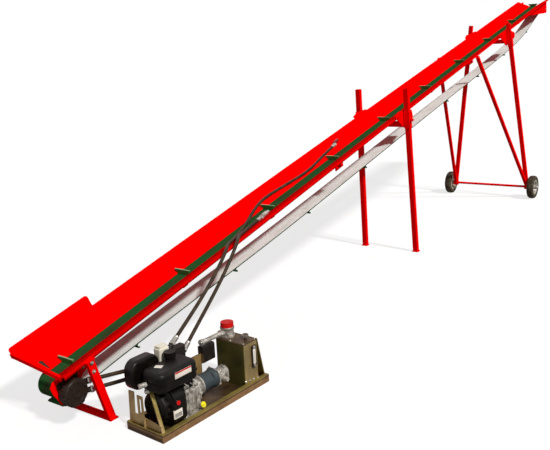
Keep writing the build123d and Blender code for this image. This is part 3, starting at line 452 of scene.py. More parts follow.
# The couplers on the feed hoses are zinc plated, and the upper one is painted red up to its tip.
finish, clouds, fine = plated("coupler")
along = parts_of(finish, in_trough(finish))[0]
steel = finish.mix(clouds, rgb(206, 202, 194), rgb(150, 144, 134))
red_part = along.band((2.4, 2.41), (3.05, 3.052))
tone = finish.mix(red_part, steel, rgb(128, 12, 10))
finish.close(tone, fine * 0.14 + 0.3, 0.5, finish.bump(fine, 0.0001))

# %% [markdown]
# Plastics and rubber: the engine's covers are black moulded plastic with a fine spark grain,
# the air filter is cream, and the hoses are black rubber gone brown with dust. Small coloured
# parts, such as the stop switch and the yellow oil cap, use the same recipe.


# %% Plastic and rubber
def moulded(name, colour, dust, rough, grain, depth, dust_share=0.4, gloss=0.16):
    finish = Finish(name)
    dusty = finish.noise(24.0, 5.0).between(0.5, 0.78)
    fine = finish.noise(grain, 2.0)
    tone = finish.mix(dusty * dust_share, colour, dust)
    finish.close(tone, dusty * 0.2 + rough, normal=finish.bump(fine, depth), Specular_IOR_Level=gloss)


MOULDED = {
    # finish: colour, dust, roughness, grain, depth, share of dust
    "black_plastic": (rgb(15, 12, 9), rgb(62, 52, 34), 0.42, 900.0, 0.0002, 0.15),
    "black_gloss": (rgb(14, 11, 9), rgb(58, 46, 32), 0.24, 500.0, 0.00005, 0.2),
    "cream_plastic": (rgb(240, 232, 214), rgb(200, 184, 156), 0.42, 800.0, 0.0001, 0.4),
    "red_plastic": (rgb(206, 22, 18), rgb(140, 26, 20), 0.3, 600.0, 0.0001, 0.4),
    "yellow_plastic": (rgb(240, 226, 40), rgb(188, 160, 30), 0.36, 600.0, 0.0001, 0.3),
    "blank_plate": (rgb(236, 226, 212), rgb(196, 178, 158), 0.4, 500.0, 0.00005, 0.5),
    "grey_tyre": (rgb(70, 61, 47), rgb(134, 119, 98), 0.76, 300.0, 0.0004, 0.8),
    "hose_rubber": (rgb(52, 40, 28), rgb(98, 82, 58), 0.5, 420.0, 0.0002, 0.5),
}
for name, numbers in MOULDED.items():
    moulded(name, *numbers)

# %% [markdown]
# Each solid of the frame has its finish by name. A finish of the frame's record that has no
# material here stops the script.

# %% Finishes on the frame's nodes
for entry in frame["record"]["materials"]:
    assert entry["slot"] in finishes, entry["slot"]
node_slots = {
    "red_paint": ["floor_pan", "near_side", "far_side", "hopper_side", "end_strap", "tail_plates",
                  "head_plates", "foot", "mid_bracket", "mid_leg_near", "mid_leg_far", "head_bracket",
                  "upright_near", "upright_far", "brace_near", "brace_far", "axle"],
    "green_belt": ["belt_upper", "belt_tail_wrap", "belt_head_wrap"],
    "pale_belt": ["belt_lower"],
    "bare_steel": ["tail_drum", "head_roller"],
    "coupler": ["hose_couplers"],
    "motor_black": ["drive_motor"],
    "grey_tyre": ["tyre_near", "tyre_far"],
    "rim_grey": ["rim_near", "rim_far"],
    "zinc_yellow": ["pack_tray"],
    "cast_alloy": ["engine_block", "pump", "filter_head"],
    "black_plastic": ["fan_housing", "fuel_tank"],
    "black_gloss": ["silencer_cover"],
    "cream_plastic": ["air_filter"],
    "slate_paint": ["bell_housing"],
    "valve_black": ["valve_block"],
    "olive_zinc": ["oil_tank"],
    "red_plastic": ["filter_cap"],
}
for slot_name, names in node_slots.items():
    for name in names:
        for slot in nodes[name].material_slots:
            slot.material = finishes[slot_name]
print("finishes:", len(finishes))

# %% [markdown]
# The hydraulic hoses are 20 mm across. Two run from the valve on the pack up over the side of
# the trough, and two short ones feed the motor on the tail drum. Each is one smooth NURBS line
# with a round section, which keeps close to the solid hose in the frame.

# %% Hoses
HOSE_R = 0.01
WALL_START, WALL_LOW, WALL_RISE = 0.038, 0.011, 69.0 / 147.0
HOSE_REST = 0.01135
PORT_AT = (0.04, -0.12)
PORT_TURN = math.radians(25.0)
PORT_HEIGHTS = (-0.044, -0.096)
VALVE_U, VALVE_V = 0.3185, 0.245
DRIVE_HEIGHTS = (0.268, 0.232)


def on_wall(s, y):
    return on_trough(s, y, WALL_LOW + (abs(y) - WALL_START) * WALL_RISE + HOSE_REST)


def from_port(height, reach):
    at = on_trough(PORT_AT[0], 0.0, height)
    return Vector((at.x + reach * math.cos(PORT_TURN), PORT_AT[1] - reach * math.sin(PORT_TURN), at.z))


def motor_route(height, w):
    return [from_port(height, 0.0403), from_port(height, 0.1703), on_pack(0.168, VALVE_V, w),
            on_pack(VALVE_U - 0.0003, VALVE_V, w)]


def hanging(start, end, sags):
    """Points between start and end, hung below the straight line by the sags."""
    points = [start.lerp(end, (k + 1) / (len(sags) + 1)) for k in range(len(sags))]
    return [point - Vector((0, 0, sag)) for point, sag in zip(points, sags)]


feed_start_a, feed_start_b = on_pack(0.345, VALVE_V, 0.318), on_pack(0.425, VALVE_V, 0.258)
lip_a, lip_b = on_trough(1.12, -0.235, 0.112), on_trough(1.23, -0.235, 0.112)
HOSES = {
    "motor_hose_a": (0.432, "hanging", motor_route(PORT_HEIGHTS[0], DRIVE_HEIGHTS[0])),
    "motor_hose_b": (0.428, "hanging", motor_route(PORT_HEIGHTS[1], DRIVE_HEIGHTS[1])),
    "feed_hose_a": (2.602, "loose", [
        feed_start_a, *hanging(feed_start_a, lip_a, (0.014, 0.025, 0.024)), lip_a,
        on_trough(1.215, -0.165, 0.094), on_wall(1.36, -0.098), on_trough(1.5, -0.038, 0.026),
        on_trough(1.64, 0.01, 0.02), on_wall(1.79, 0.06), on_wall(1.94, 0.084),
        on_wall(2.2, 0.066), on_wall(2.46, 0.046), on_wall(2.72, 0.074), on_wall(2.95, 0.092)]),
    "feed_hose_b": (1.251, "loose", [
        feed_start_b, *hanging(feed_start_b, lip_b, (0.01, 0.022, 0.024)), lip_b,
        on_trough(1.325, -0.165, 0.094), on_wall(1.46, -0.11), on_wall(1.57, -0.084),
        on_wall(1.68, -0.082)]),
}


# %% [markdown]
# Every piece that follows is a mesh built from a few shapes: turned ones, which carry a profile
# round an axis, and slabs, which are an outline with a thickness and rounded edges. A shape is
# made round its own Z axis and set down by a matrix, in the directions of the trough, the
# power pack or the ground. Shapes that touch are pushed a little into each other.


# %% Shapes
def faced(frame_of, place, facing, upward=UP):
    """The matrix that lays a shape's own Z along facing and its Y as near upward as it goes."""
    ahead = Vector(facing).normalized()
    side = Vector(upward).cross(ahead)
    if side.length < 1e-6:
        side = Vector((0, 1, 0)).cross(ahead)
    side.normalize()
    turned = Matrix((side, ahead.cross(side), ahead)).transposed().to_4x4()
    return frame_of @ Matrix.Translation(place) @ turned


def rounded(width, height, radius, steps=5):
    """A rectangle about the origin with round corners."""
    points = []
    for quarter in range(4):
        angle = quarter * math.pi / 2
        middle_x = (width / 2 - radius) * (1 if quarter in (0, 3) else -1)
        middle_y = (height / 2 - radius) * (1 if quarter in (0, 1) else -1)
        for step in range(steps + 1):
            bend = angle + step * math.pi / 2 / steps
            points.append((middle_x + radius * math.cos(bend), middle_y + radius * math.sin(bend)))
    return points


def ring_of(count, radius, start=0.0):
    """Places evenly round a circle, the first of them at the angle start."""
    angles = [start + 2 * math.pi * k / count for k in range(count)]
    return [(radius * math.cos(angle), radius * math.sin(angle)) for angle in angles]


def smooth(data, sharp):
    """Smooth shading, with every edge sharp that bends by more than so many degrees."""
    data.shade_smooth()
    data.set_sharp_from_angle(angle=math.radians(sharp))


class Piece:
    def __init__(self, name, finish, body="frame"):
        self.name, self.finish, self.body = name, finish, body
        self.mesh = bmesh.new()

    def join(self, low, high):
        """Faces between two rings of corners, of which one may be a single corner."""
        count = max(len(low), len(high))
        for k in range(count):
            after = (k + 1) % count
            lower = (low[k % len(low)], low[after % len(low)])
            upper = (high[after % len(high)], high[k % len(high)])
            self.mesh.faces.new(list(dict.fromkeys(lower + upper)))

    def turned(self, where, profile, sides=32):
        """A profile of (radius, height) points turned round the Z axis of where."""
        rings = []
        for radius, height in profile:
            spots = [(0, 0)] if radius < 1e-6 else ring_of(sides, radius)
            rings.append([self.mesh.verts.new(where @ Vector((x, y, height))) for x, y in spots])
        for low, high in zip(rings, rings[1:]):
            self.join(low, high)
        return self

    def slab(self, where, outline, low, high, edge=0.0, rounds=2):
        """An outline in the XY plane of where, from low to high, with its edges rounded."""
        rings = [[self.mesh.verts.new(where @ Vector((x, y, z))) for x, y in outline] for z in (low, high)]
        caps = [self.mesh.faces.new(ring) for ring in rings]
        self.join(*rings)
        if edge:
            edges = {line for cap in caps for line in cap.edges}
            bmesh.ops.bevel(self.mesh, geom=list(edges), offset=edge, segments=rounds, profile=0.5,
                            affect="EDGES", clamp_overlap=True)
        return self

    def rod(self, frame_of, places, radius, sides=8):
        """A round bar through a few places."""
        points = [frame_of @ Vector(place) for place in places]
        rings = []
        for k, place in enumerate(points):
            before, after = points[max(k - 1, 0)], points[min(k + 1, len(points) - 1)]
            where = faced(GROUND, place, after - before)
            rings.append([self.mesh.verts.new(where @ Vector((x, y, 0))) for x, y in ring_of(sides, radius)])
        for low, high in zip(rings, rings[1:]):
            self.join(low, high)
        for ring in (rings[0], rings[-1]):
            self.mesh.faces.new(ring)
        return self

    def as_object(self):
        bmesh.ops.recalc_face_normals(self.mesh, faces=self.mesh.faces)
        data = bpy.data.meshes.new(self.name)
        self.mesh.to_mesh(data)
        self.mesh.free()
        made = bpy.data.objects.new(self.name, data)
        scene.collection.objects.link(made)
        return made

    def close(self, *replaced, sharp=32.0):
        """Makes the object, and says what it rides on and the nodes it replaces."""
        made = self.as_object()
        smooth(made.data, sharp)
        made.data.materials.append(finishes[self.finish])
        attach(made, self.body)
        if replaced:
            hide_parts(*replaced)
        return made


# %% [markdown]
# Each end of a hose has a crimped sleeve and a hexagon nut, which on the machine turn freely on
# the fitting. Here they are made with each hose and ride on the frame with it. The hose itself
# is the NURBS line with a round section.


# %% Hoses and their ends
CRIMP_R, CRIMP_LOW_R, CRIMP_PITCH = 0.0134, 0.0124, 0.008


def sleeve(name, at, ahead):
    """The sleeve with its four crimps, and the hexagon nut below it."""
    piece = Piece(name, "bare_steel")
    where = faced(GROUND, at, ahead)
    profile = [(0, 0.002), (0.0118, 0.002), (0.013, 0.004)]
    for k in range(4):
        start = 0.016 + CRIMP_PITCH * k
        profile += [(CRIMP_R, start), (CRIMP_R, start + 0.004), (CRIMP_LOW_R, start + 0.005),
                    (CRIMP_LOW_R, start + 0.007)]
    piece.turned(where, profile + [(CRIMP_R, 0.05), (0.011, 0.053), (0, 0.053)], 24)
    piece.turned(where, [(0, -0.003), (0.0158, -0.003), (0.0172, -0.001), (0.0172, 0.013),
                         (0.0158, 0.015), (0, 0.015)], 6)
    return piece.close()


def hose(name, route):
    curve = bpy.data.curves.new(name + "_line", "CURVE")
    curve.dimensions = "3D"
    line = curve.splines.new("NURBS")
    line.points.add(len(route) - 1)
    for point, place in zip(line.points, route):
        point.co = (*place, 1.0)
    line.order_u = 3
    line.use_endpoint_u = True
    curve.resolution_u = 14
    curve.bevel_depth = HOSE_R
    curve.bevel_resolution = 6
    curve.use_fill_caps = True
    curve.materials.append(finishes["hose_rubber"])
    piece = bpy.data.objects.new(name + "_rubber", curve)
    scene.collection.objects.link(piece)
    sleeves = [sleeve(name + "_sleeve_start", route[0], route[1] - route[0]),
               sleeve(name + "_sleeve_end", route[-1], route[-2] - route[-1])]
    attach(piece, "frame")
    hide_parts(name)


for name, (length, lay, route) in HOSES.items():
    hose(name, route)
print("hoses:", len(HOSES))

# %% [markdown]
# Some forms at the foot are nearer to the photograph as sheet metal with its own outline than
# as the plain solids of the frame: the plates that hold the tail drum, the hopper's side with
# its slanted ends, and the strap across the end. The trough's own sheets are cut back to match.

# %% Sheet metal at the foot
TAIL_N = -0.058
TROUGH_END, PAN_END = -0.062, -0.02
SHEET, PLATE = 0.003, 0.006
NEAR_PLATE_Y, FAR_PLATE_Y = 0.076, 0.082
NEAR_PLATE = [(-0.06, 0.0253), (-0.071, 0.02), (-0.086, 0.006), (-0.089, -0.001), (-0.084, -0.042),
              (-0.072, -0.076), (-0.066, -0.104), (-0.058, -0.116), (-0.03, -0.124), (0.032, -0.124),
              (0.056, -0.114), (0.066, -0.098), (0.078, -0.054), (0.186, 0.000), (0.19, 0.0253)]
FAR_PLATE = [(0.02, 0.0253), (-0.004, -0.006), (-0.034, -0.03), (-0.046, -0.058), (-0.034, -0.092),
             (0.000, -0.106), (0.034, -0.098), (0.056, -0.078), (0.074, -0.04), (0.186, 0.000),
             (0.19, 0.0253)]


def wall_side(sign, inner):
    """A matrix whose X is along the trough and Y above its floor, standing at y = sign * inner."""
    return faced(TROUGH, (0, sign * inner, 0), NEARWARD)


def shortened(node, cuts):
    """The node's own sheet, cut off where the photograph shows the trough to end.

    Each cut is a place (s, y) and a direction (s, y) that points to what is kept.
    """
    piece = Piece(node + "_sheet", "red_paint")
    piece.mesh.from_mesh(nodes[node].data)
    bmesh.ops.remove_doubles(piece.mesh, verts=piece.mesh.verts, dist=1e-6)
    for (s, y), (kept_s, kept_y) in cuts:
        everything = [*piece.mesh.verts, *piece.mesh.edges, *piece.mesh.faces]
        kept = TROUGH.to_3x3() @ Vector((kept_s, kept_y, 0))
        cut = bmesh.ops.bisect_plane(piece.mesh, geom=everything, plane_co=on_trough(s, y, 0),
                                     plane_no=kept, clear_inner=True)
        rim = [part for part in cut["geom_cut"] if isinstance(part, bmesh.types.BMEdge)]
        bmesh.ops.holes_fill(piece.mesh, edges=rim)
    piece.close(node)


SQUARE_CUT = ((TROUGH_END, 0.0), (1, 0))
shortened("near_side", [SQUARE_CUT, ((PAN_END, -0.038), (0.102, -0.042))])
shortened("far_side", [SQUARE_CUT, ((PAN_END, 0.038), (0.147, 0.024))])
shortened("floor_pan", [((PAN_END, 0.0), (1, 0))])

plates = Piece("tail_plate_sheets", "red_paint")
plates.slab(wall_side(-1, NEAR_PLATE_Y), NEAR_PLATE, 0.0, PLATE, edge=0.0008)
plates.slab(wall_side(1, FAR_PLATE_Y), FAR_PLATE, 0.0, PLATE, edge=0.0008)
plates.close("tail_plates")

bearing = Piece("tail_bearing", "cast_alloy")
bearing_at = faced(TROUGH, (0, FAR_PLATE_Y, TAIL_N), FARWARD)
bearing.slab(bearing_at, rounded(0.084, 0.058, 0.028, 8), -0.001, 0.009, edge=0.002)
bearing.turned(bearing_at, [(0, 0), (0.027, 0), (0.027, 0.014), (0.024, 0.018), (0.0155, 0.018),
                            (0.0152, 0.012)], 36)
bearing.close()

HOPPER_EDGE = [(-0.05, 0.1853), (-0.053, 0.204), (-0.04, 0.246), (-0.032, 0.2545), (-0.018, 0.257),
               (0.466, 0.257), (0.476, 0.2545), (0.481, 0.247), (0.478, 0.236), (0.4575, 0.196),
               (0.454, 0.1853)]
hopper = Piece("hopper_sheet", "red_paint")
lean = math.atan(WALL_RISE)
wall_matrix = TROUGH @ Matrix.Translation((0, WALL_START, WALL_LOW)) @ Matrix.Rotation(lean, 4, "X")
outline = [(s, (y - WALL_START) / math.cos(lean)) for s, y in HOPPER_EDGE]
hopper.slab(wall_matrix, outline, -SHEET, 0.0, edge=0.0006, rounds=1)
hopper.close("hopper_side")

STRAP_S = TROUGH_END - 0.0002
STRAP_TOP = Vector((-0.15, 0.0655))
STRAP_FACE = [STRAP_TOP, (-0.15, 0.044), (0.185, 0.0898), (0.205, 0.088), (0.208, 0.113)]
strap = Piece("end_strap_angle", "red_paint")
strap_at = faced(TROUGH, (STRAP_S, 0, 0), BACK)
strap.slab(strap_at, [(-y, n) for y, n in STRAP_FACE], -SHEET, 0.0, edge=0.0008)
flange_lean = math.atan2(0.113 - STRAP_TOP.y, 0.208 - STRAP_TOP.x)
flange_at = TROUGH @ Matrix.Translation((STRAP_S, *STRAP_TOP)) @ Matrix.Rotation(flange_lean, 4, "X")
STRAP_FLANGE = [(0.0, 0.01), (0.012, 0.01), (0.015, 0.014), (0.015, 0.34), (0.012, 0.36), (0.0, 0.36)]
strap.slab(flange_at, STRAP_FLANGE, -SHEET, 0.0, edge=0.0008)
strap.close("end_strap")

# A dark rubber slab under the slot in the far wall makes the slot dark towards the drum.
dark_slab_edge = [(-0.006, 0.004), (0.034, 0.004), (0.034, 0.084), (-0.006, 0.084)]
Piece("slot_skirt", "hose_rubber").slab(wall_matrix, dark_slab_edge, -0.0075, -0.0034, edge=0.0006).close()
print("sheet metal made")

# %% [markdown]
# Bolts repeat all over the machine, so Geometry Nodes set them out. A mesh holds only their
# places, with two attributes: which way the head faces, and its width across the flats. The
# tree turns one hexagon head with its washer that way, scales it, gives each a chance turn of
# its own about its axis, and makes the result real.


# %% Bolt tree
def bolt_head():
    """A head one unit across the flats, with a chamfer, a washer and the stud's end."""
    piece = Piece("bolt_head", None)
    corner = 0.5 / math.cos(math.pi / 6)
    piece.turned(GROUND, [(0, -0.05), (0.92, -0.05), (0.95, 0.02), (0.92, 0.1), (0, 0.1)], 24)
    piece.turned(GROUND, [(0, 0.05), (corner, 0.05), (corner, 0.52), (corner * 0.84, 0.62), (0, 0.62)], 6)
    piece.turned(GROUND, [(0, 0.5), (0.26, 0.5), (0.26, 0.76), (0.2, 0.82), (0, 0.82)], 12)
    return piece.as_object()


def bolt_nodes():
    tree = bpy.data.node_groups.new("bolts", "GeometryNodeTree")
    for label, kind in (("Places", "Geometry"), ("Head", "Object"), ("Finish", "Material"),
                        ("Size", "Float"), ("Seed", "Int")):
        tree.interface.new_socket(label, in_out="INPUT", socket_type="NodeSocket" + kind)
    tree.interface.new_socket("Bolts", in_out="OUTPUT", socket_type="NodeSocketGeometry")

    def node(kind, **settings):
        made = tree.nodes.new(kind)
        for key, value in settings.items():
            setattr(made, key, value)
        return made

    given = node("NodeGroupInput")
    facing = node("GeometryNodeInputNamedAttribute", data_type="FLOAT_VECTOR")
    width = node("GeometryNodeInputNamedAttribute")
    facing.inputs["Name"].default_value = "facing"
    width.inputs["Name"].default_value = "width"
    chance = node("FunctionNodeRandomValue")
    align = node("FunctionNodeAlignRotationToVector", axis="Z")
    spin = node("FunctionNodeAxisAngleToRotation")
    both = node("FunctionNodeRotateRotation", rotation_space="LOCAL")
    head = node("GeometryNodeObjectInfo")
    scaled = node("ShaderNodeMath", operation="MULTIPLY")
    spread = node("GeometryNodeInstanceOnPoints")
    real = node("GeometryNodeRealizeInstances")
    paint = node("GeometryNodeSetMaterial")
    result = node("NodeGroupOutput")
    links = [(given, "Seed", chance, "Seed"), (facing, "Attribute", align, "Vector"),
             (chance, "Value", spin, "Angle"), (align, "Rotation", both, "Rotation"),
             (spin, "Rotation", both, "Rotate By"), (given, "Head", head, "Object"),
             (width, "Attribute", scaled, 0), (given, "Size", scaled, 1), (given, "Places", spread, "Points"),
             (head, "Geometry", spread, "Instance"), (both, "Rotation", spread, "Rotation"),
             (scaled, "Value", spread, "Scale"), (spread, "Instances", real, "Geometry"),
             (real, "Geometry", paint, "Geometry"), (given, "Finish", paint, "Material"),
             (paint, "Geometry", result, "Bolts")]
    for start, out, end, into in links:
        # Some nodes have several sockets of one name, of which only one is in use.
        socket = next(s for s in start.outputs if s.enabled and out in (s.name, s.identifier))
        tree.links.new(socket, end.inputs[into])
    return tree


def evaluated(piece):
    """The plain mesh that a piece's modifiers give."""
    made = bpy.data.meshes.new_from_object(piece.evaluated_get(bpy.context.evaluated_depsgraph_get()))
    piece.modifiers.clear()
    return made


HEAD, BOLTS = bolt_head(), bolt_nodes()
BOLT_SEED = 4


def set_bolts(name, rows, finish="bare_steel", body="frame"):
    """Rows of (frame of reference, place, facing, width) become one piece of bolts."""
    data = bpy.data.meshes.new(name)
    data.from_pydata([frame_of @ Vector(place) for frame_of, place, _, _ in rows], [], [])
    data.attributes.new("facing", "FLOAT_VECTOR", "POINT")
    data.attributes.new("width", "FLOAT", "POINT")
    for k, (frame_of, _, ahead, size) in enumerate(rows):
        data.attributes["facing"].data[k].vector = frame_of.to_3x3() @ Vector(ahead)
        data.attributes["width"].data[k].value = size
    piece = bpy.data.objects.new(name, data)
    scene.collection.objects.link(piece)
    modifier = piece.modifiers.new("bolts", "NODES")
    modifier.node_group = BOLTS
    values = {"Head": HEAD, "Finish": finishes[finish], "Size": 1.0, "Seed": BOLT_SEED}
    for item in BOLTS.interface.items_tree:
        if item.in_out == "INPUT" and item.name in values:
            modifier[item.identifier] = values[item.name]
    piece.data = evaluated(piece)
    smooth(piece.data, 30)
    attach(piece, body)
    print(name, len(rows), "bolts")


# %% [markdown]
# Where the bolts are: at the foot, on both tail plates, on the plates under the lips where the
# trough's sections meet, on both brackets, at the head and on the axle's ends. Those at the
# foot, on the tail plates, at the axle's ends and on the wheels are zinc plated, shown with
# the bare steel finish. The others were sprayed red with the trough.

# %% Bolts of the trough
MID_S, HEAD_S, LENGTH = 3.629, 6.342, 8.085
JOINTS = (2.53, 5.245)
LIP_OUT, GUSSET_OUT, HEAD_OUT = 0.183, 0.193, 0.148
AXLE_X, AXLE_Z, AXLE_OUT, WHEEL_OUT = 6.14, 0.13, 0.531, 0.487
red_places = [(joint + ds, LIP_OUT, 0.047) for joint in JOINTS for ds in (-0.035, 0.035)]
red_places += [(MID_S + ds, GUSSET_OUT, n) for ds, n in ((-0.12, 0.08), (0.000, 0.072), (0.11, 0.04))]
red_places += [(HEAD_S + ds, GUSSET_OUT, n)
               for ds, n in ((-0.18, 0.092), (-0.06, 0.078), (0.09, 0.066), (0.23, 0.006))]
red_places += [(LENGTH + ds, HEAD_OUT, n) for ds, n in ((-0.11, 0.03), (-0.26, 0.034))]
rows, red_rows = [], []
for sign in (-1, 1):
    aside = (0, sign, 0)
    rows += [(TROUGH, (0.089, sign * 0.1983, 0.056), aside, 0.012)]
    rows += [(TROUGH, (0.088, sign * 0.1915, 0.004), aside, 0.012)]
    rows += [(GROUND, (AXLE_X, sign * AXLE_OUT, AXLE_Z), aside, 0.02)]
    red_rows += [(TROUGH, (s, sign * y, n), aside, 0.013) for s, y, n in red_places]
rows += [(TROUGH, (s, 0.088, TAIL_N), FARWARD, 0.01) for s in (-0.034, 0.034)]
rows += [(TROUGH, (s, -0.0817, n), NEARWARD, 0.011) for s, n in ((0.11, -0.012), (0.15, 0.008))]
set_bolts("trough_bolts", rows)
set_bolts("painted_bolts", red_rows, "red_paint")
for side, sign in (("near", -1), ("far", 1)):
    rows = [(GROUND, (AXLE_X + x, sign * (WHEEL_OUT + 0.0015), AXLE_Z + z), (0, sign, 0), 0.01)
            for x, z in ring_of(4, 0.044, math.pi / 4)]
    set_bolts("rim_bolts_" + side, rows, body="wheel_" + side)

# %% [markdown]
# The same tree sets the smaller screws of the power pack: the engine's feet and crankcase
# cover, both flanges of the bell housing, the oil tank's lid, the row along its foot and the
# cover of the recoil starter.

# %% Bolts of the power pack
CRANK_V, CRANK_W = 0.112, 0.118


def crank_ring(u, facing, width, count, radius, start, drop=0.0):
    """Bolts in a circle round the line of the crankshaft."""
    return [(PACK, (u, CRANK_V + y, CRANK_W - drop + z), facing, width)
            for y, z in ring_of(count, radius, math.radians(start))]


rows = [(PACK, (u, v, 0.0262), UP, 0.012) for u in (0.222, 0.318) for v in (0.048, 0.192)]
rows += crank_ring(0.337, ALONG, 0.008, 6, 0.062, 30, 0.008)
rows += crank_ring(0.499, ALONG, 0.012, 4, 0.048, 45)
rows += crank_ring(0.372, BACK, 0.008, 6, 0.043, 30)
rows += [(PACK, (u, v, 0.256), UP, 0.007) for u in (0.645, 0.732) for v in (0.035, 0.125, 0.213)
         if (u, v) != (0.732, 0.125)]
rows += [(PACK, (u, 0.025, 0.052 - 0.011 * k / 3), NEARWARD, 0.009)
         for k, u in enumerate((0.638, 0.67, 0.699, 0.732))]
set_bolts("pack_bolts", rows)
set_bolts("starter_bolts", crank_ring(0.0985, BACK, 0.008, 3, 0.086, 50), "motor_black")

# %% [markdown]
# The hydraulic motor is of the kind with a star of rollers inside. Its body is a stack of
# rings held by seven long bolts, with lobes between them, and in the photograph it looks larger
# than the frame's plain one, so a piece of the scene takes its place. Both ports stay where the
# frame has them, because the hoses start there.

# %% Motor
MOTOR_S, MOTOR_N, MOTOR_LOBES = -0.006, TAIL_N - 0.006, 7
motor = Piece("drive_motor_body", "motor_black")
mount_at = faced(TROUGH, (0, -0.0823, TAIL_N), NEARWARD)
motor.slab(mount_at, rounded(0.12, 0.12, 0.018), 0.0, 0.0137, edge=0.0015)
motor_at = faced(TROUGH, (MOTOR_S, -0.082, MOTOR_N), NEARWARD)
stack = [(0, 0.012), (0.061, 0.012), (0.066, 0.015), (0.066, 0.027), (0.063, 0.028), (0.063, 0.031),
         (0.067, 0.032), (0.067, 0.047), (0.063, 0.048), (0.063, 0.051), (0.067, 0.052), (0.067, 0.062),
         (0.061, 0.067), (0.046, 0.068), (0.044, 0.0655), (0.028, 0.0655), (0.026, 0.07), (0.014, 0.07),
         (0.012, 0.067), (0, 0.067)]
motor.turned(motor_at, stack, 56)
for k in range(MOTOR_LOBES):
    turn = Matrix.Rotation(2 * math.pi * (k + 0.5) / MOTOR_LOBES, 4, "Z")
    lobe = motor_at @ turn @ Matrix.Translation((0.064, 0, 0))
    motor.slab(lobe, rounded(0.012, 0.03, 0.0055), 0.03, 0.063, edge=0.002)
port = [(0, -0.01), (0.015, -0.01), (0.015, 0.018), (0.0135, 0.019), (0.0135, 0.04), (0, 0.04)]
for height in PORT_HEIGHTS:
    outward = from_port(height, 1.0) - from_port(height, 0.0)
    motor.turned(faced(GROUND, from_port(height, 0.0), outward), port, 24)
motor.close("drive_motor")
rows = [(TROUGH, (MOTOR_S + x, -0.1485, MOTOR_N + z), NEARWARD, 0.0115)
        for x, z in ring_of(MOTOR_LOBES, 0.0525, math.radians(12))]
set_bolts("motor_bolts", rows, "motor_black")
rows = [(TROUGH, (x, -0.096, TAIL_N + z), NEARWARD, 0.014)
        for x in (-0.05, 0.05) for z in (-0.05, 0.05)]
set_bolts("motor_flange_bolts", rows, "motor_black")

bpy.data.objects.remove(HEAD)

# %% [markdown]
# Trims of the power pack. The labels and the rating plate are blank. The recoil starter's grip
# hangs by the left plate, the stop switch sits on the fan's shroud, the oil filler has its
# yellow cap, and the level gauge is a pale tube with marks, held by two bolts. Levers, a vent,
# a ring round the filter's cap and a hose barb complete the pack.


# %% Trims of the power pack
def pack_face(u, w, v):
    return faced(PACK, (u, v, w), NEARWARD)


def add_ribs(piece, where, count, radius, profile):
    for x, y in ring_of(count, radius):
        piece.turned(where @ Matrix.Translation((x, y, 0)), profile, 6)


SWITCH_AT = pack_face(0.152, 0.145, 0.0205)
GAUGE_U, GAUGE_W, GAUGE_FRONT = 0.7045, 0.174, 0.0139
CAP_R, VENT_R = 0.014, 0.0163

LABELS = [
    # name, finish, place, then width, height, corner radius and its steps, back, front, edge
    ("tank_label", "blank_plate", pack_face(0.2015, 0.278, 0.0222),
     0.106, 0.031, 0.002, 3, -0.001, 0.0008, 0.0004),
    ("tank_label_band", "red_plastic", pack_face(0.2015, 0.2895, 0.0214),
     0.104, 0.0075, 0.0012, 2, -0.0008, 0.0003, 0.0),
    ("tank_top_label", "blank_plate", faced(PACK, (0.132, 0.11, 0.3118), UP, (-0.45, 0.9, 0)),
     0.03, 0.038, 0.003, 3, -0.0008, 0.0008, 0.0004),
    ("rating_plate", "blank_plate", pack_face(0.147, 0.0935, 0.0203),
     0.054, 0.044, 0.003, 3, -0.002, 0.0032, 0.0004),
    ("plate_panel", "cast_alloy", pack_face(0.147, 0.088, 0.0172),
     0.042, 0.02, 0.002, 3, -0.001, 0.0005, 0.0),
]
for name, finish, where, width, height, corner, steps, low, high, edge in LABELS:
    Piece(name, finish).slab(where, rounded(width, height, corner, steps), low, high, edge).close()

Piece("stop_switch", "red_plastic").turned(
    SWITCH_AT, [(0, -0.001), (0.0115, -0.001), (0.0115, 0.005), (0.01, 0.0075), (0.006, 0.0085),
                (0, 0.0085)], 28).close()
Piece("switch_collar", "black_gloss").turned(
    SWITCH_AT, [(0, -0.002), (0.016, -0.002), (0.016, 0.0015), (0.0145, 0.0028), (0, 0.0028)], 28).close()

cap = Piece("oil_cap", "yellow_plastic")
cap_at = faced(PACK, (0.323, 0.0315, 0.0585), (0, -0.894, 0.447))
cap.turned(cap_at, [(0, -0.002), (0.0125, -0.002), (CAP_R, 0.0), (CAP_R, 0.0055), (0.012, 0.0075),
                    (0, 0.0075)], 30)
cap.slab(cap_at, rounded(0.02, 0.006, 0.0028, 4), 0.006, 0.013, edge=0.0014)
add_ribs(cap, cap_at, 14, CAP_R, [(0, 0), (0.0014, 0), (0.0014, 0.0055), (0, 0.0062)])
cap.close()

Piece("gauge_tube", "blank_plate").slab(
    pack_face(GAUGE_U, GAUGE_W, 0.019), rounded(0.02, 0.088, 0.008, 6), -0.003, 0.005,
    edge=0.002).close()
marks = Piece("gauge_marks", "black_gloss")
for k in range(9):
    long = 0.0095 if k % 4 == 0 else 0.0055
    mark_at = pack_face(GAUGE_U, GAUGE_W - 0.028 + 0.007 * k, GAUGE_FRONT)
    marks.slab(mark_at, rounded(long, 0.0011, 0.0005, 2), -0.0006, 0.0003)
middle_at = pack_face(GAUGE_U, GAUGE_W, GAUGE_FRONT)
marks.turned(middle_at, [(0, 0), (0.0012, 0), (0.0012, 0.0003), (0, 0.0003)], 10)
marks.close()
screws = Piece("gauge_screws", "bare_steel")
for w in (GAUGE_W - 0.051, GAUGE_W + 0.051):
    screw_at = pack_face(GAUGE_U, w, 0.015)
    screws.turned(screw_at, [(0, -0.001), (0.0095, -0.001), (0.01, 0.0015), (0.008, 0.002),
                             (0, 0.002)], 24)
    screws.turned(screw_at, [(0, 0), (0.0075, 0), (0.0075, 0.006), (0.006, 0.0075), (0, 0.0075)], 6)
screws.close()

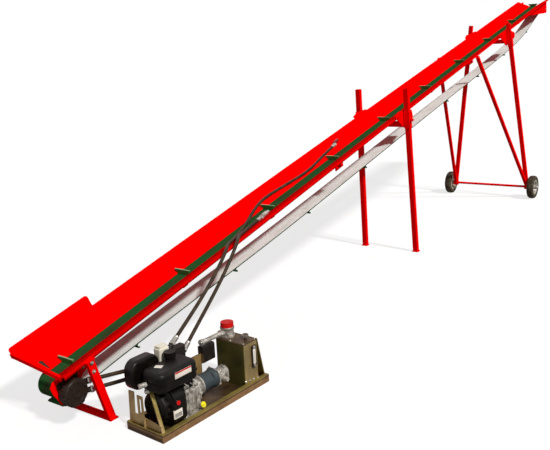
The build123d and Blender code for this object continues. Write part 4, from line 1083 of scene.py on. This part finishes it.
Piece("starter_grip", "cast_alloy").slab(
    faced(PACK, (0.034, 0.118, 0.254), (1, -0.35, 0.0)), rounded(0.02, 0.022, 0.008, 5), -0.02, 0.02,
    edge=0.006, rounds=3).close()
GUIDE = (0.064, 0.124, 0.213)
guide = Piece("starter_guide", "bare_steel")
guide.turned(faced(PACK, GUIDE, (-0.6, 0.0, 0.8)),
             [(0, -0.006), (0.014, -0.006), (0.016, 0.0), (0.013, 0.007), (0.007, 0.009), (0.005, 0.004),
              (0, 0.004)], 24)
guide.rod(PACK, [GUIDE, (0.05, 0.122, 0.232), (0.038, 0.119, 0.25)], 0.0022)
guide.close()

lever = Piece("throttle_levers", "bare_steel")
lever.rod(PACK, [(0.214, 0.034, 0.212), (0.226, 0.02, 0.196), (0.232, 0.02, 0.168), (0.25, 0.03, 0.15)],
          0.0024)
lever.rod(PACK, [(0.246, 0.03, 0.206), (0.262, 0.026, 0.19), (0.292, 0.03, 0.178)], 0.002)
lever.slab(pack_face(0.216, 0.196, 0.024), rounded(0.03, 0.016, 0.006, 4), -0.003, 0.0, edge=0.0006)
lever.slab(pack_face(0.288, 0.176, 0.032), rounded(0.024, 0.012, 0.005, 4), -0.003, 0.0, edge=0.0006)
lever.close()

vent = Piece("breather_cap", "bare_steel")
vent_at = faced(PACK, (0.703, 0.07, 0.27), UP)
vent.turned(vent_at, [(0.0, 0.0155), (0.013, 0.0155), (0.016, 0.0135), (0.0165, 0.004), (0.016, 0.0),
                      (0.0, 0.0)], 30)
add_ribs(vent, vent_at, 22, VENT_R, [(0, 0.002), (0.0012, 0.002), (0.0012, 0.0125), (0, 0.013)])
vent.close()

Piece("filter_ring", "bare_steel").turned(
    faced(PACK, (0.692, 0.186, 0.2995), UP),
    [(0.03, 0.0), (0.0375, 0.0), (0.0385, 0.002), (0.0385, 0.009), (0.0375, 0.011), (0.0345, 0.011),
     (0.03, 0.0)], 40).close()
Piece("return_barb", "bare_steel").turned(
    faced(PACK, (0.487, 0.186, 0.286), ALONG),
    [(0, -0.002), (0.0105, -0.002), (0.0135, 0.006), (0.0125, 0.007), (0.0125, 0.012), (0.014, 0.018),
     (0.0125, 0.019), (0.0125, 0.025), (0.0142, 0.031), (0.0118, 0.033), (0, 0.033)], 28).close()
print("trims made")

# %% [markdown]
# Tyres are solid rubber: a plain rib in the middle, with two rows of blocks on each side of it.
# The tread is worked out point by point on one grid round the wheel. Each step round and each
# place across has a depth, so the grooves are real and the tyre stays one closed skin. A hub
# cap and a raised ring stand for the wheel's dress, and the rims keep their solids.


# %% Tyres
STEPS, GROOVE = 144, 0.0042
ROW_START = {1: 2, 2: 0}
SECTION = [
    # radius, place across, row of blocks (0 where there are none)
    (0.0786, -0.03, 0), (0.09, -0.0335, 0), (0.0925, -0.035, 0), (0.095, -0.0338, 0),
    (0.108, -0.0366, 0), (0.115, -0.0366, 0), (0.12, -0.034, 2), (0.125, -0.029, 2),
    (0.128, -0.023, 2), (0.1286, -0.019, 2), (0.1246, -0.0182, 0), (0.1246, -0.0152, 0),
    (0.1294, -0.0142, 1), (0.1298, -0.007, 1), (0.1256, -0.0062, 0), (0.1256, -0.0036, 0),
    (0.13, -0.0028, 0)]
SECTION += [(radius, -across, row) for radius, across, row in reversed(SECTION)]


def cut_here(row, step):
    """Whether a sideways groove crosses this row of blocks at this step round the wheel."""
    return row in ROW_START and (step + ROW_START[row]) % 4 == 0


for side, sign in (("near", -1), ("far", 1)):
    tyre = Piece("tyre_tread_" + side, "grey_tyre", body="wheel_" + side)
    middle = Vector((AXLE_X, sign * WHEEL_OUT, AXLE_Z))
    rings = []
    for step in range(STEPS):
        angle = 2 * math.pi * step / STEPS
        ring_points = []
        for radius, across, row in SECTION:
            reach = radius - (GROOVE if cut_here(row, step) else 0.0)
            spot = middle + Vector((reach * math.cos(angle), across, reach * math.sin(angle)))
            ring_points.append(tyre.mesh.verts.new(spot))
        rings.append(ring_points)
    for low, high in zip(rings, rings[1:] + rings[:1]):
        tyre.join(low, high)
    tyre.close("tyre_" + side, sharp=40.0)
    hub = Piece("hub_cap_" + side, "bare_steel", body="wheel_" + side)
    hub.turned(faced(GROUND, middle + Vector((0, sign * 0.0365, 0)), (0, sign, 0)),
               [(0.0104, 0.0), (0.025, 0.0), (0.0252, 0.0015), (0.0225, 0.004), (0.014, 0.005),
                (0.0104, 0.0045), (0.0104, 0.0)], 36)
    hub.turned(faced(GROUND, middle, (0, sign, 0)),
               [(0.061, 0.0005), (0.065, 0.0045), (0.069, 0.023), (0.0675, 0.0238), (0.06, 0.006),
                (0.061, 0.0005)], 48)
    hub.close()
print("tyres made")

# %% [markdown]
# The size of the dressed machine is measured as the box round all its shown pieces, with the
# floor left out.

# %% Size of the whole
low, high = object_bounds()
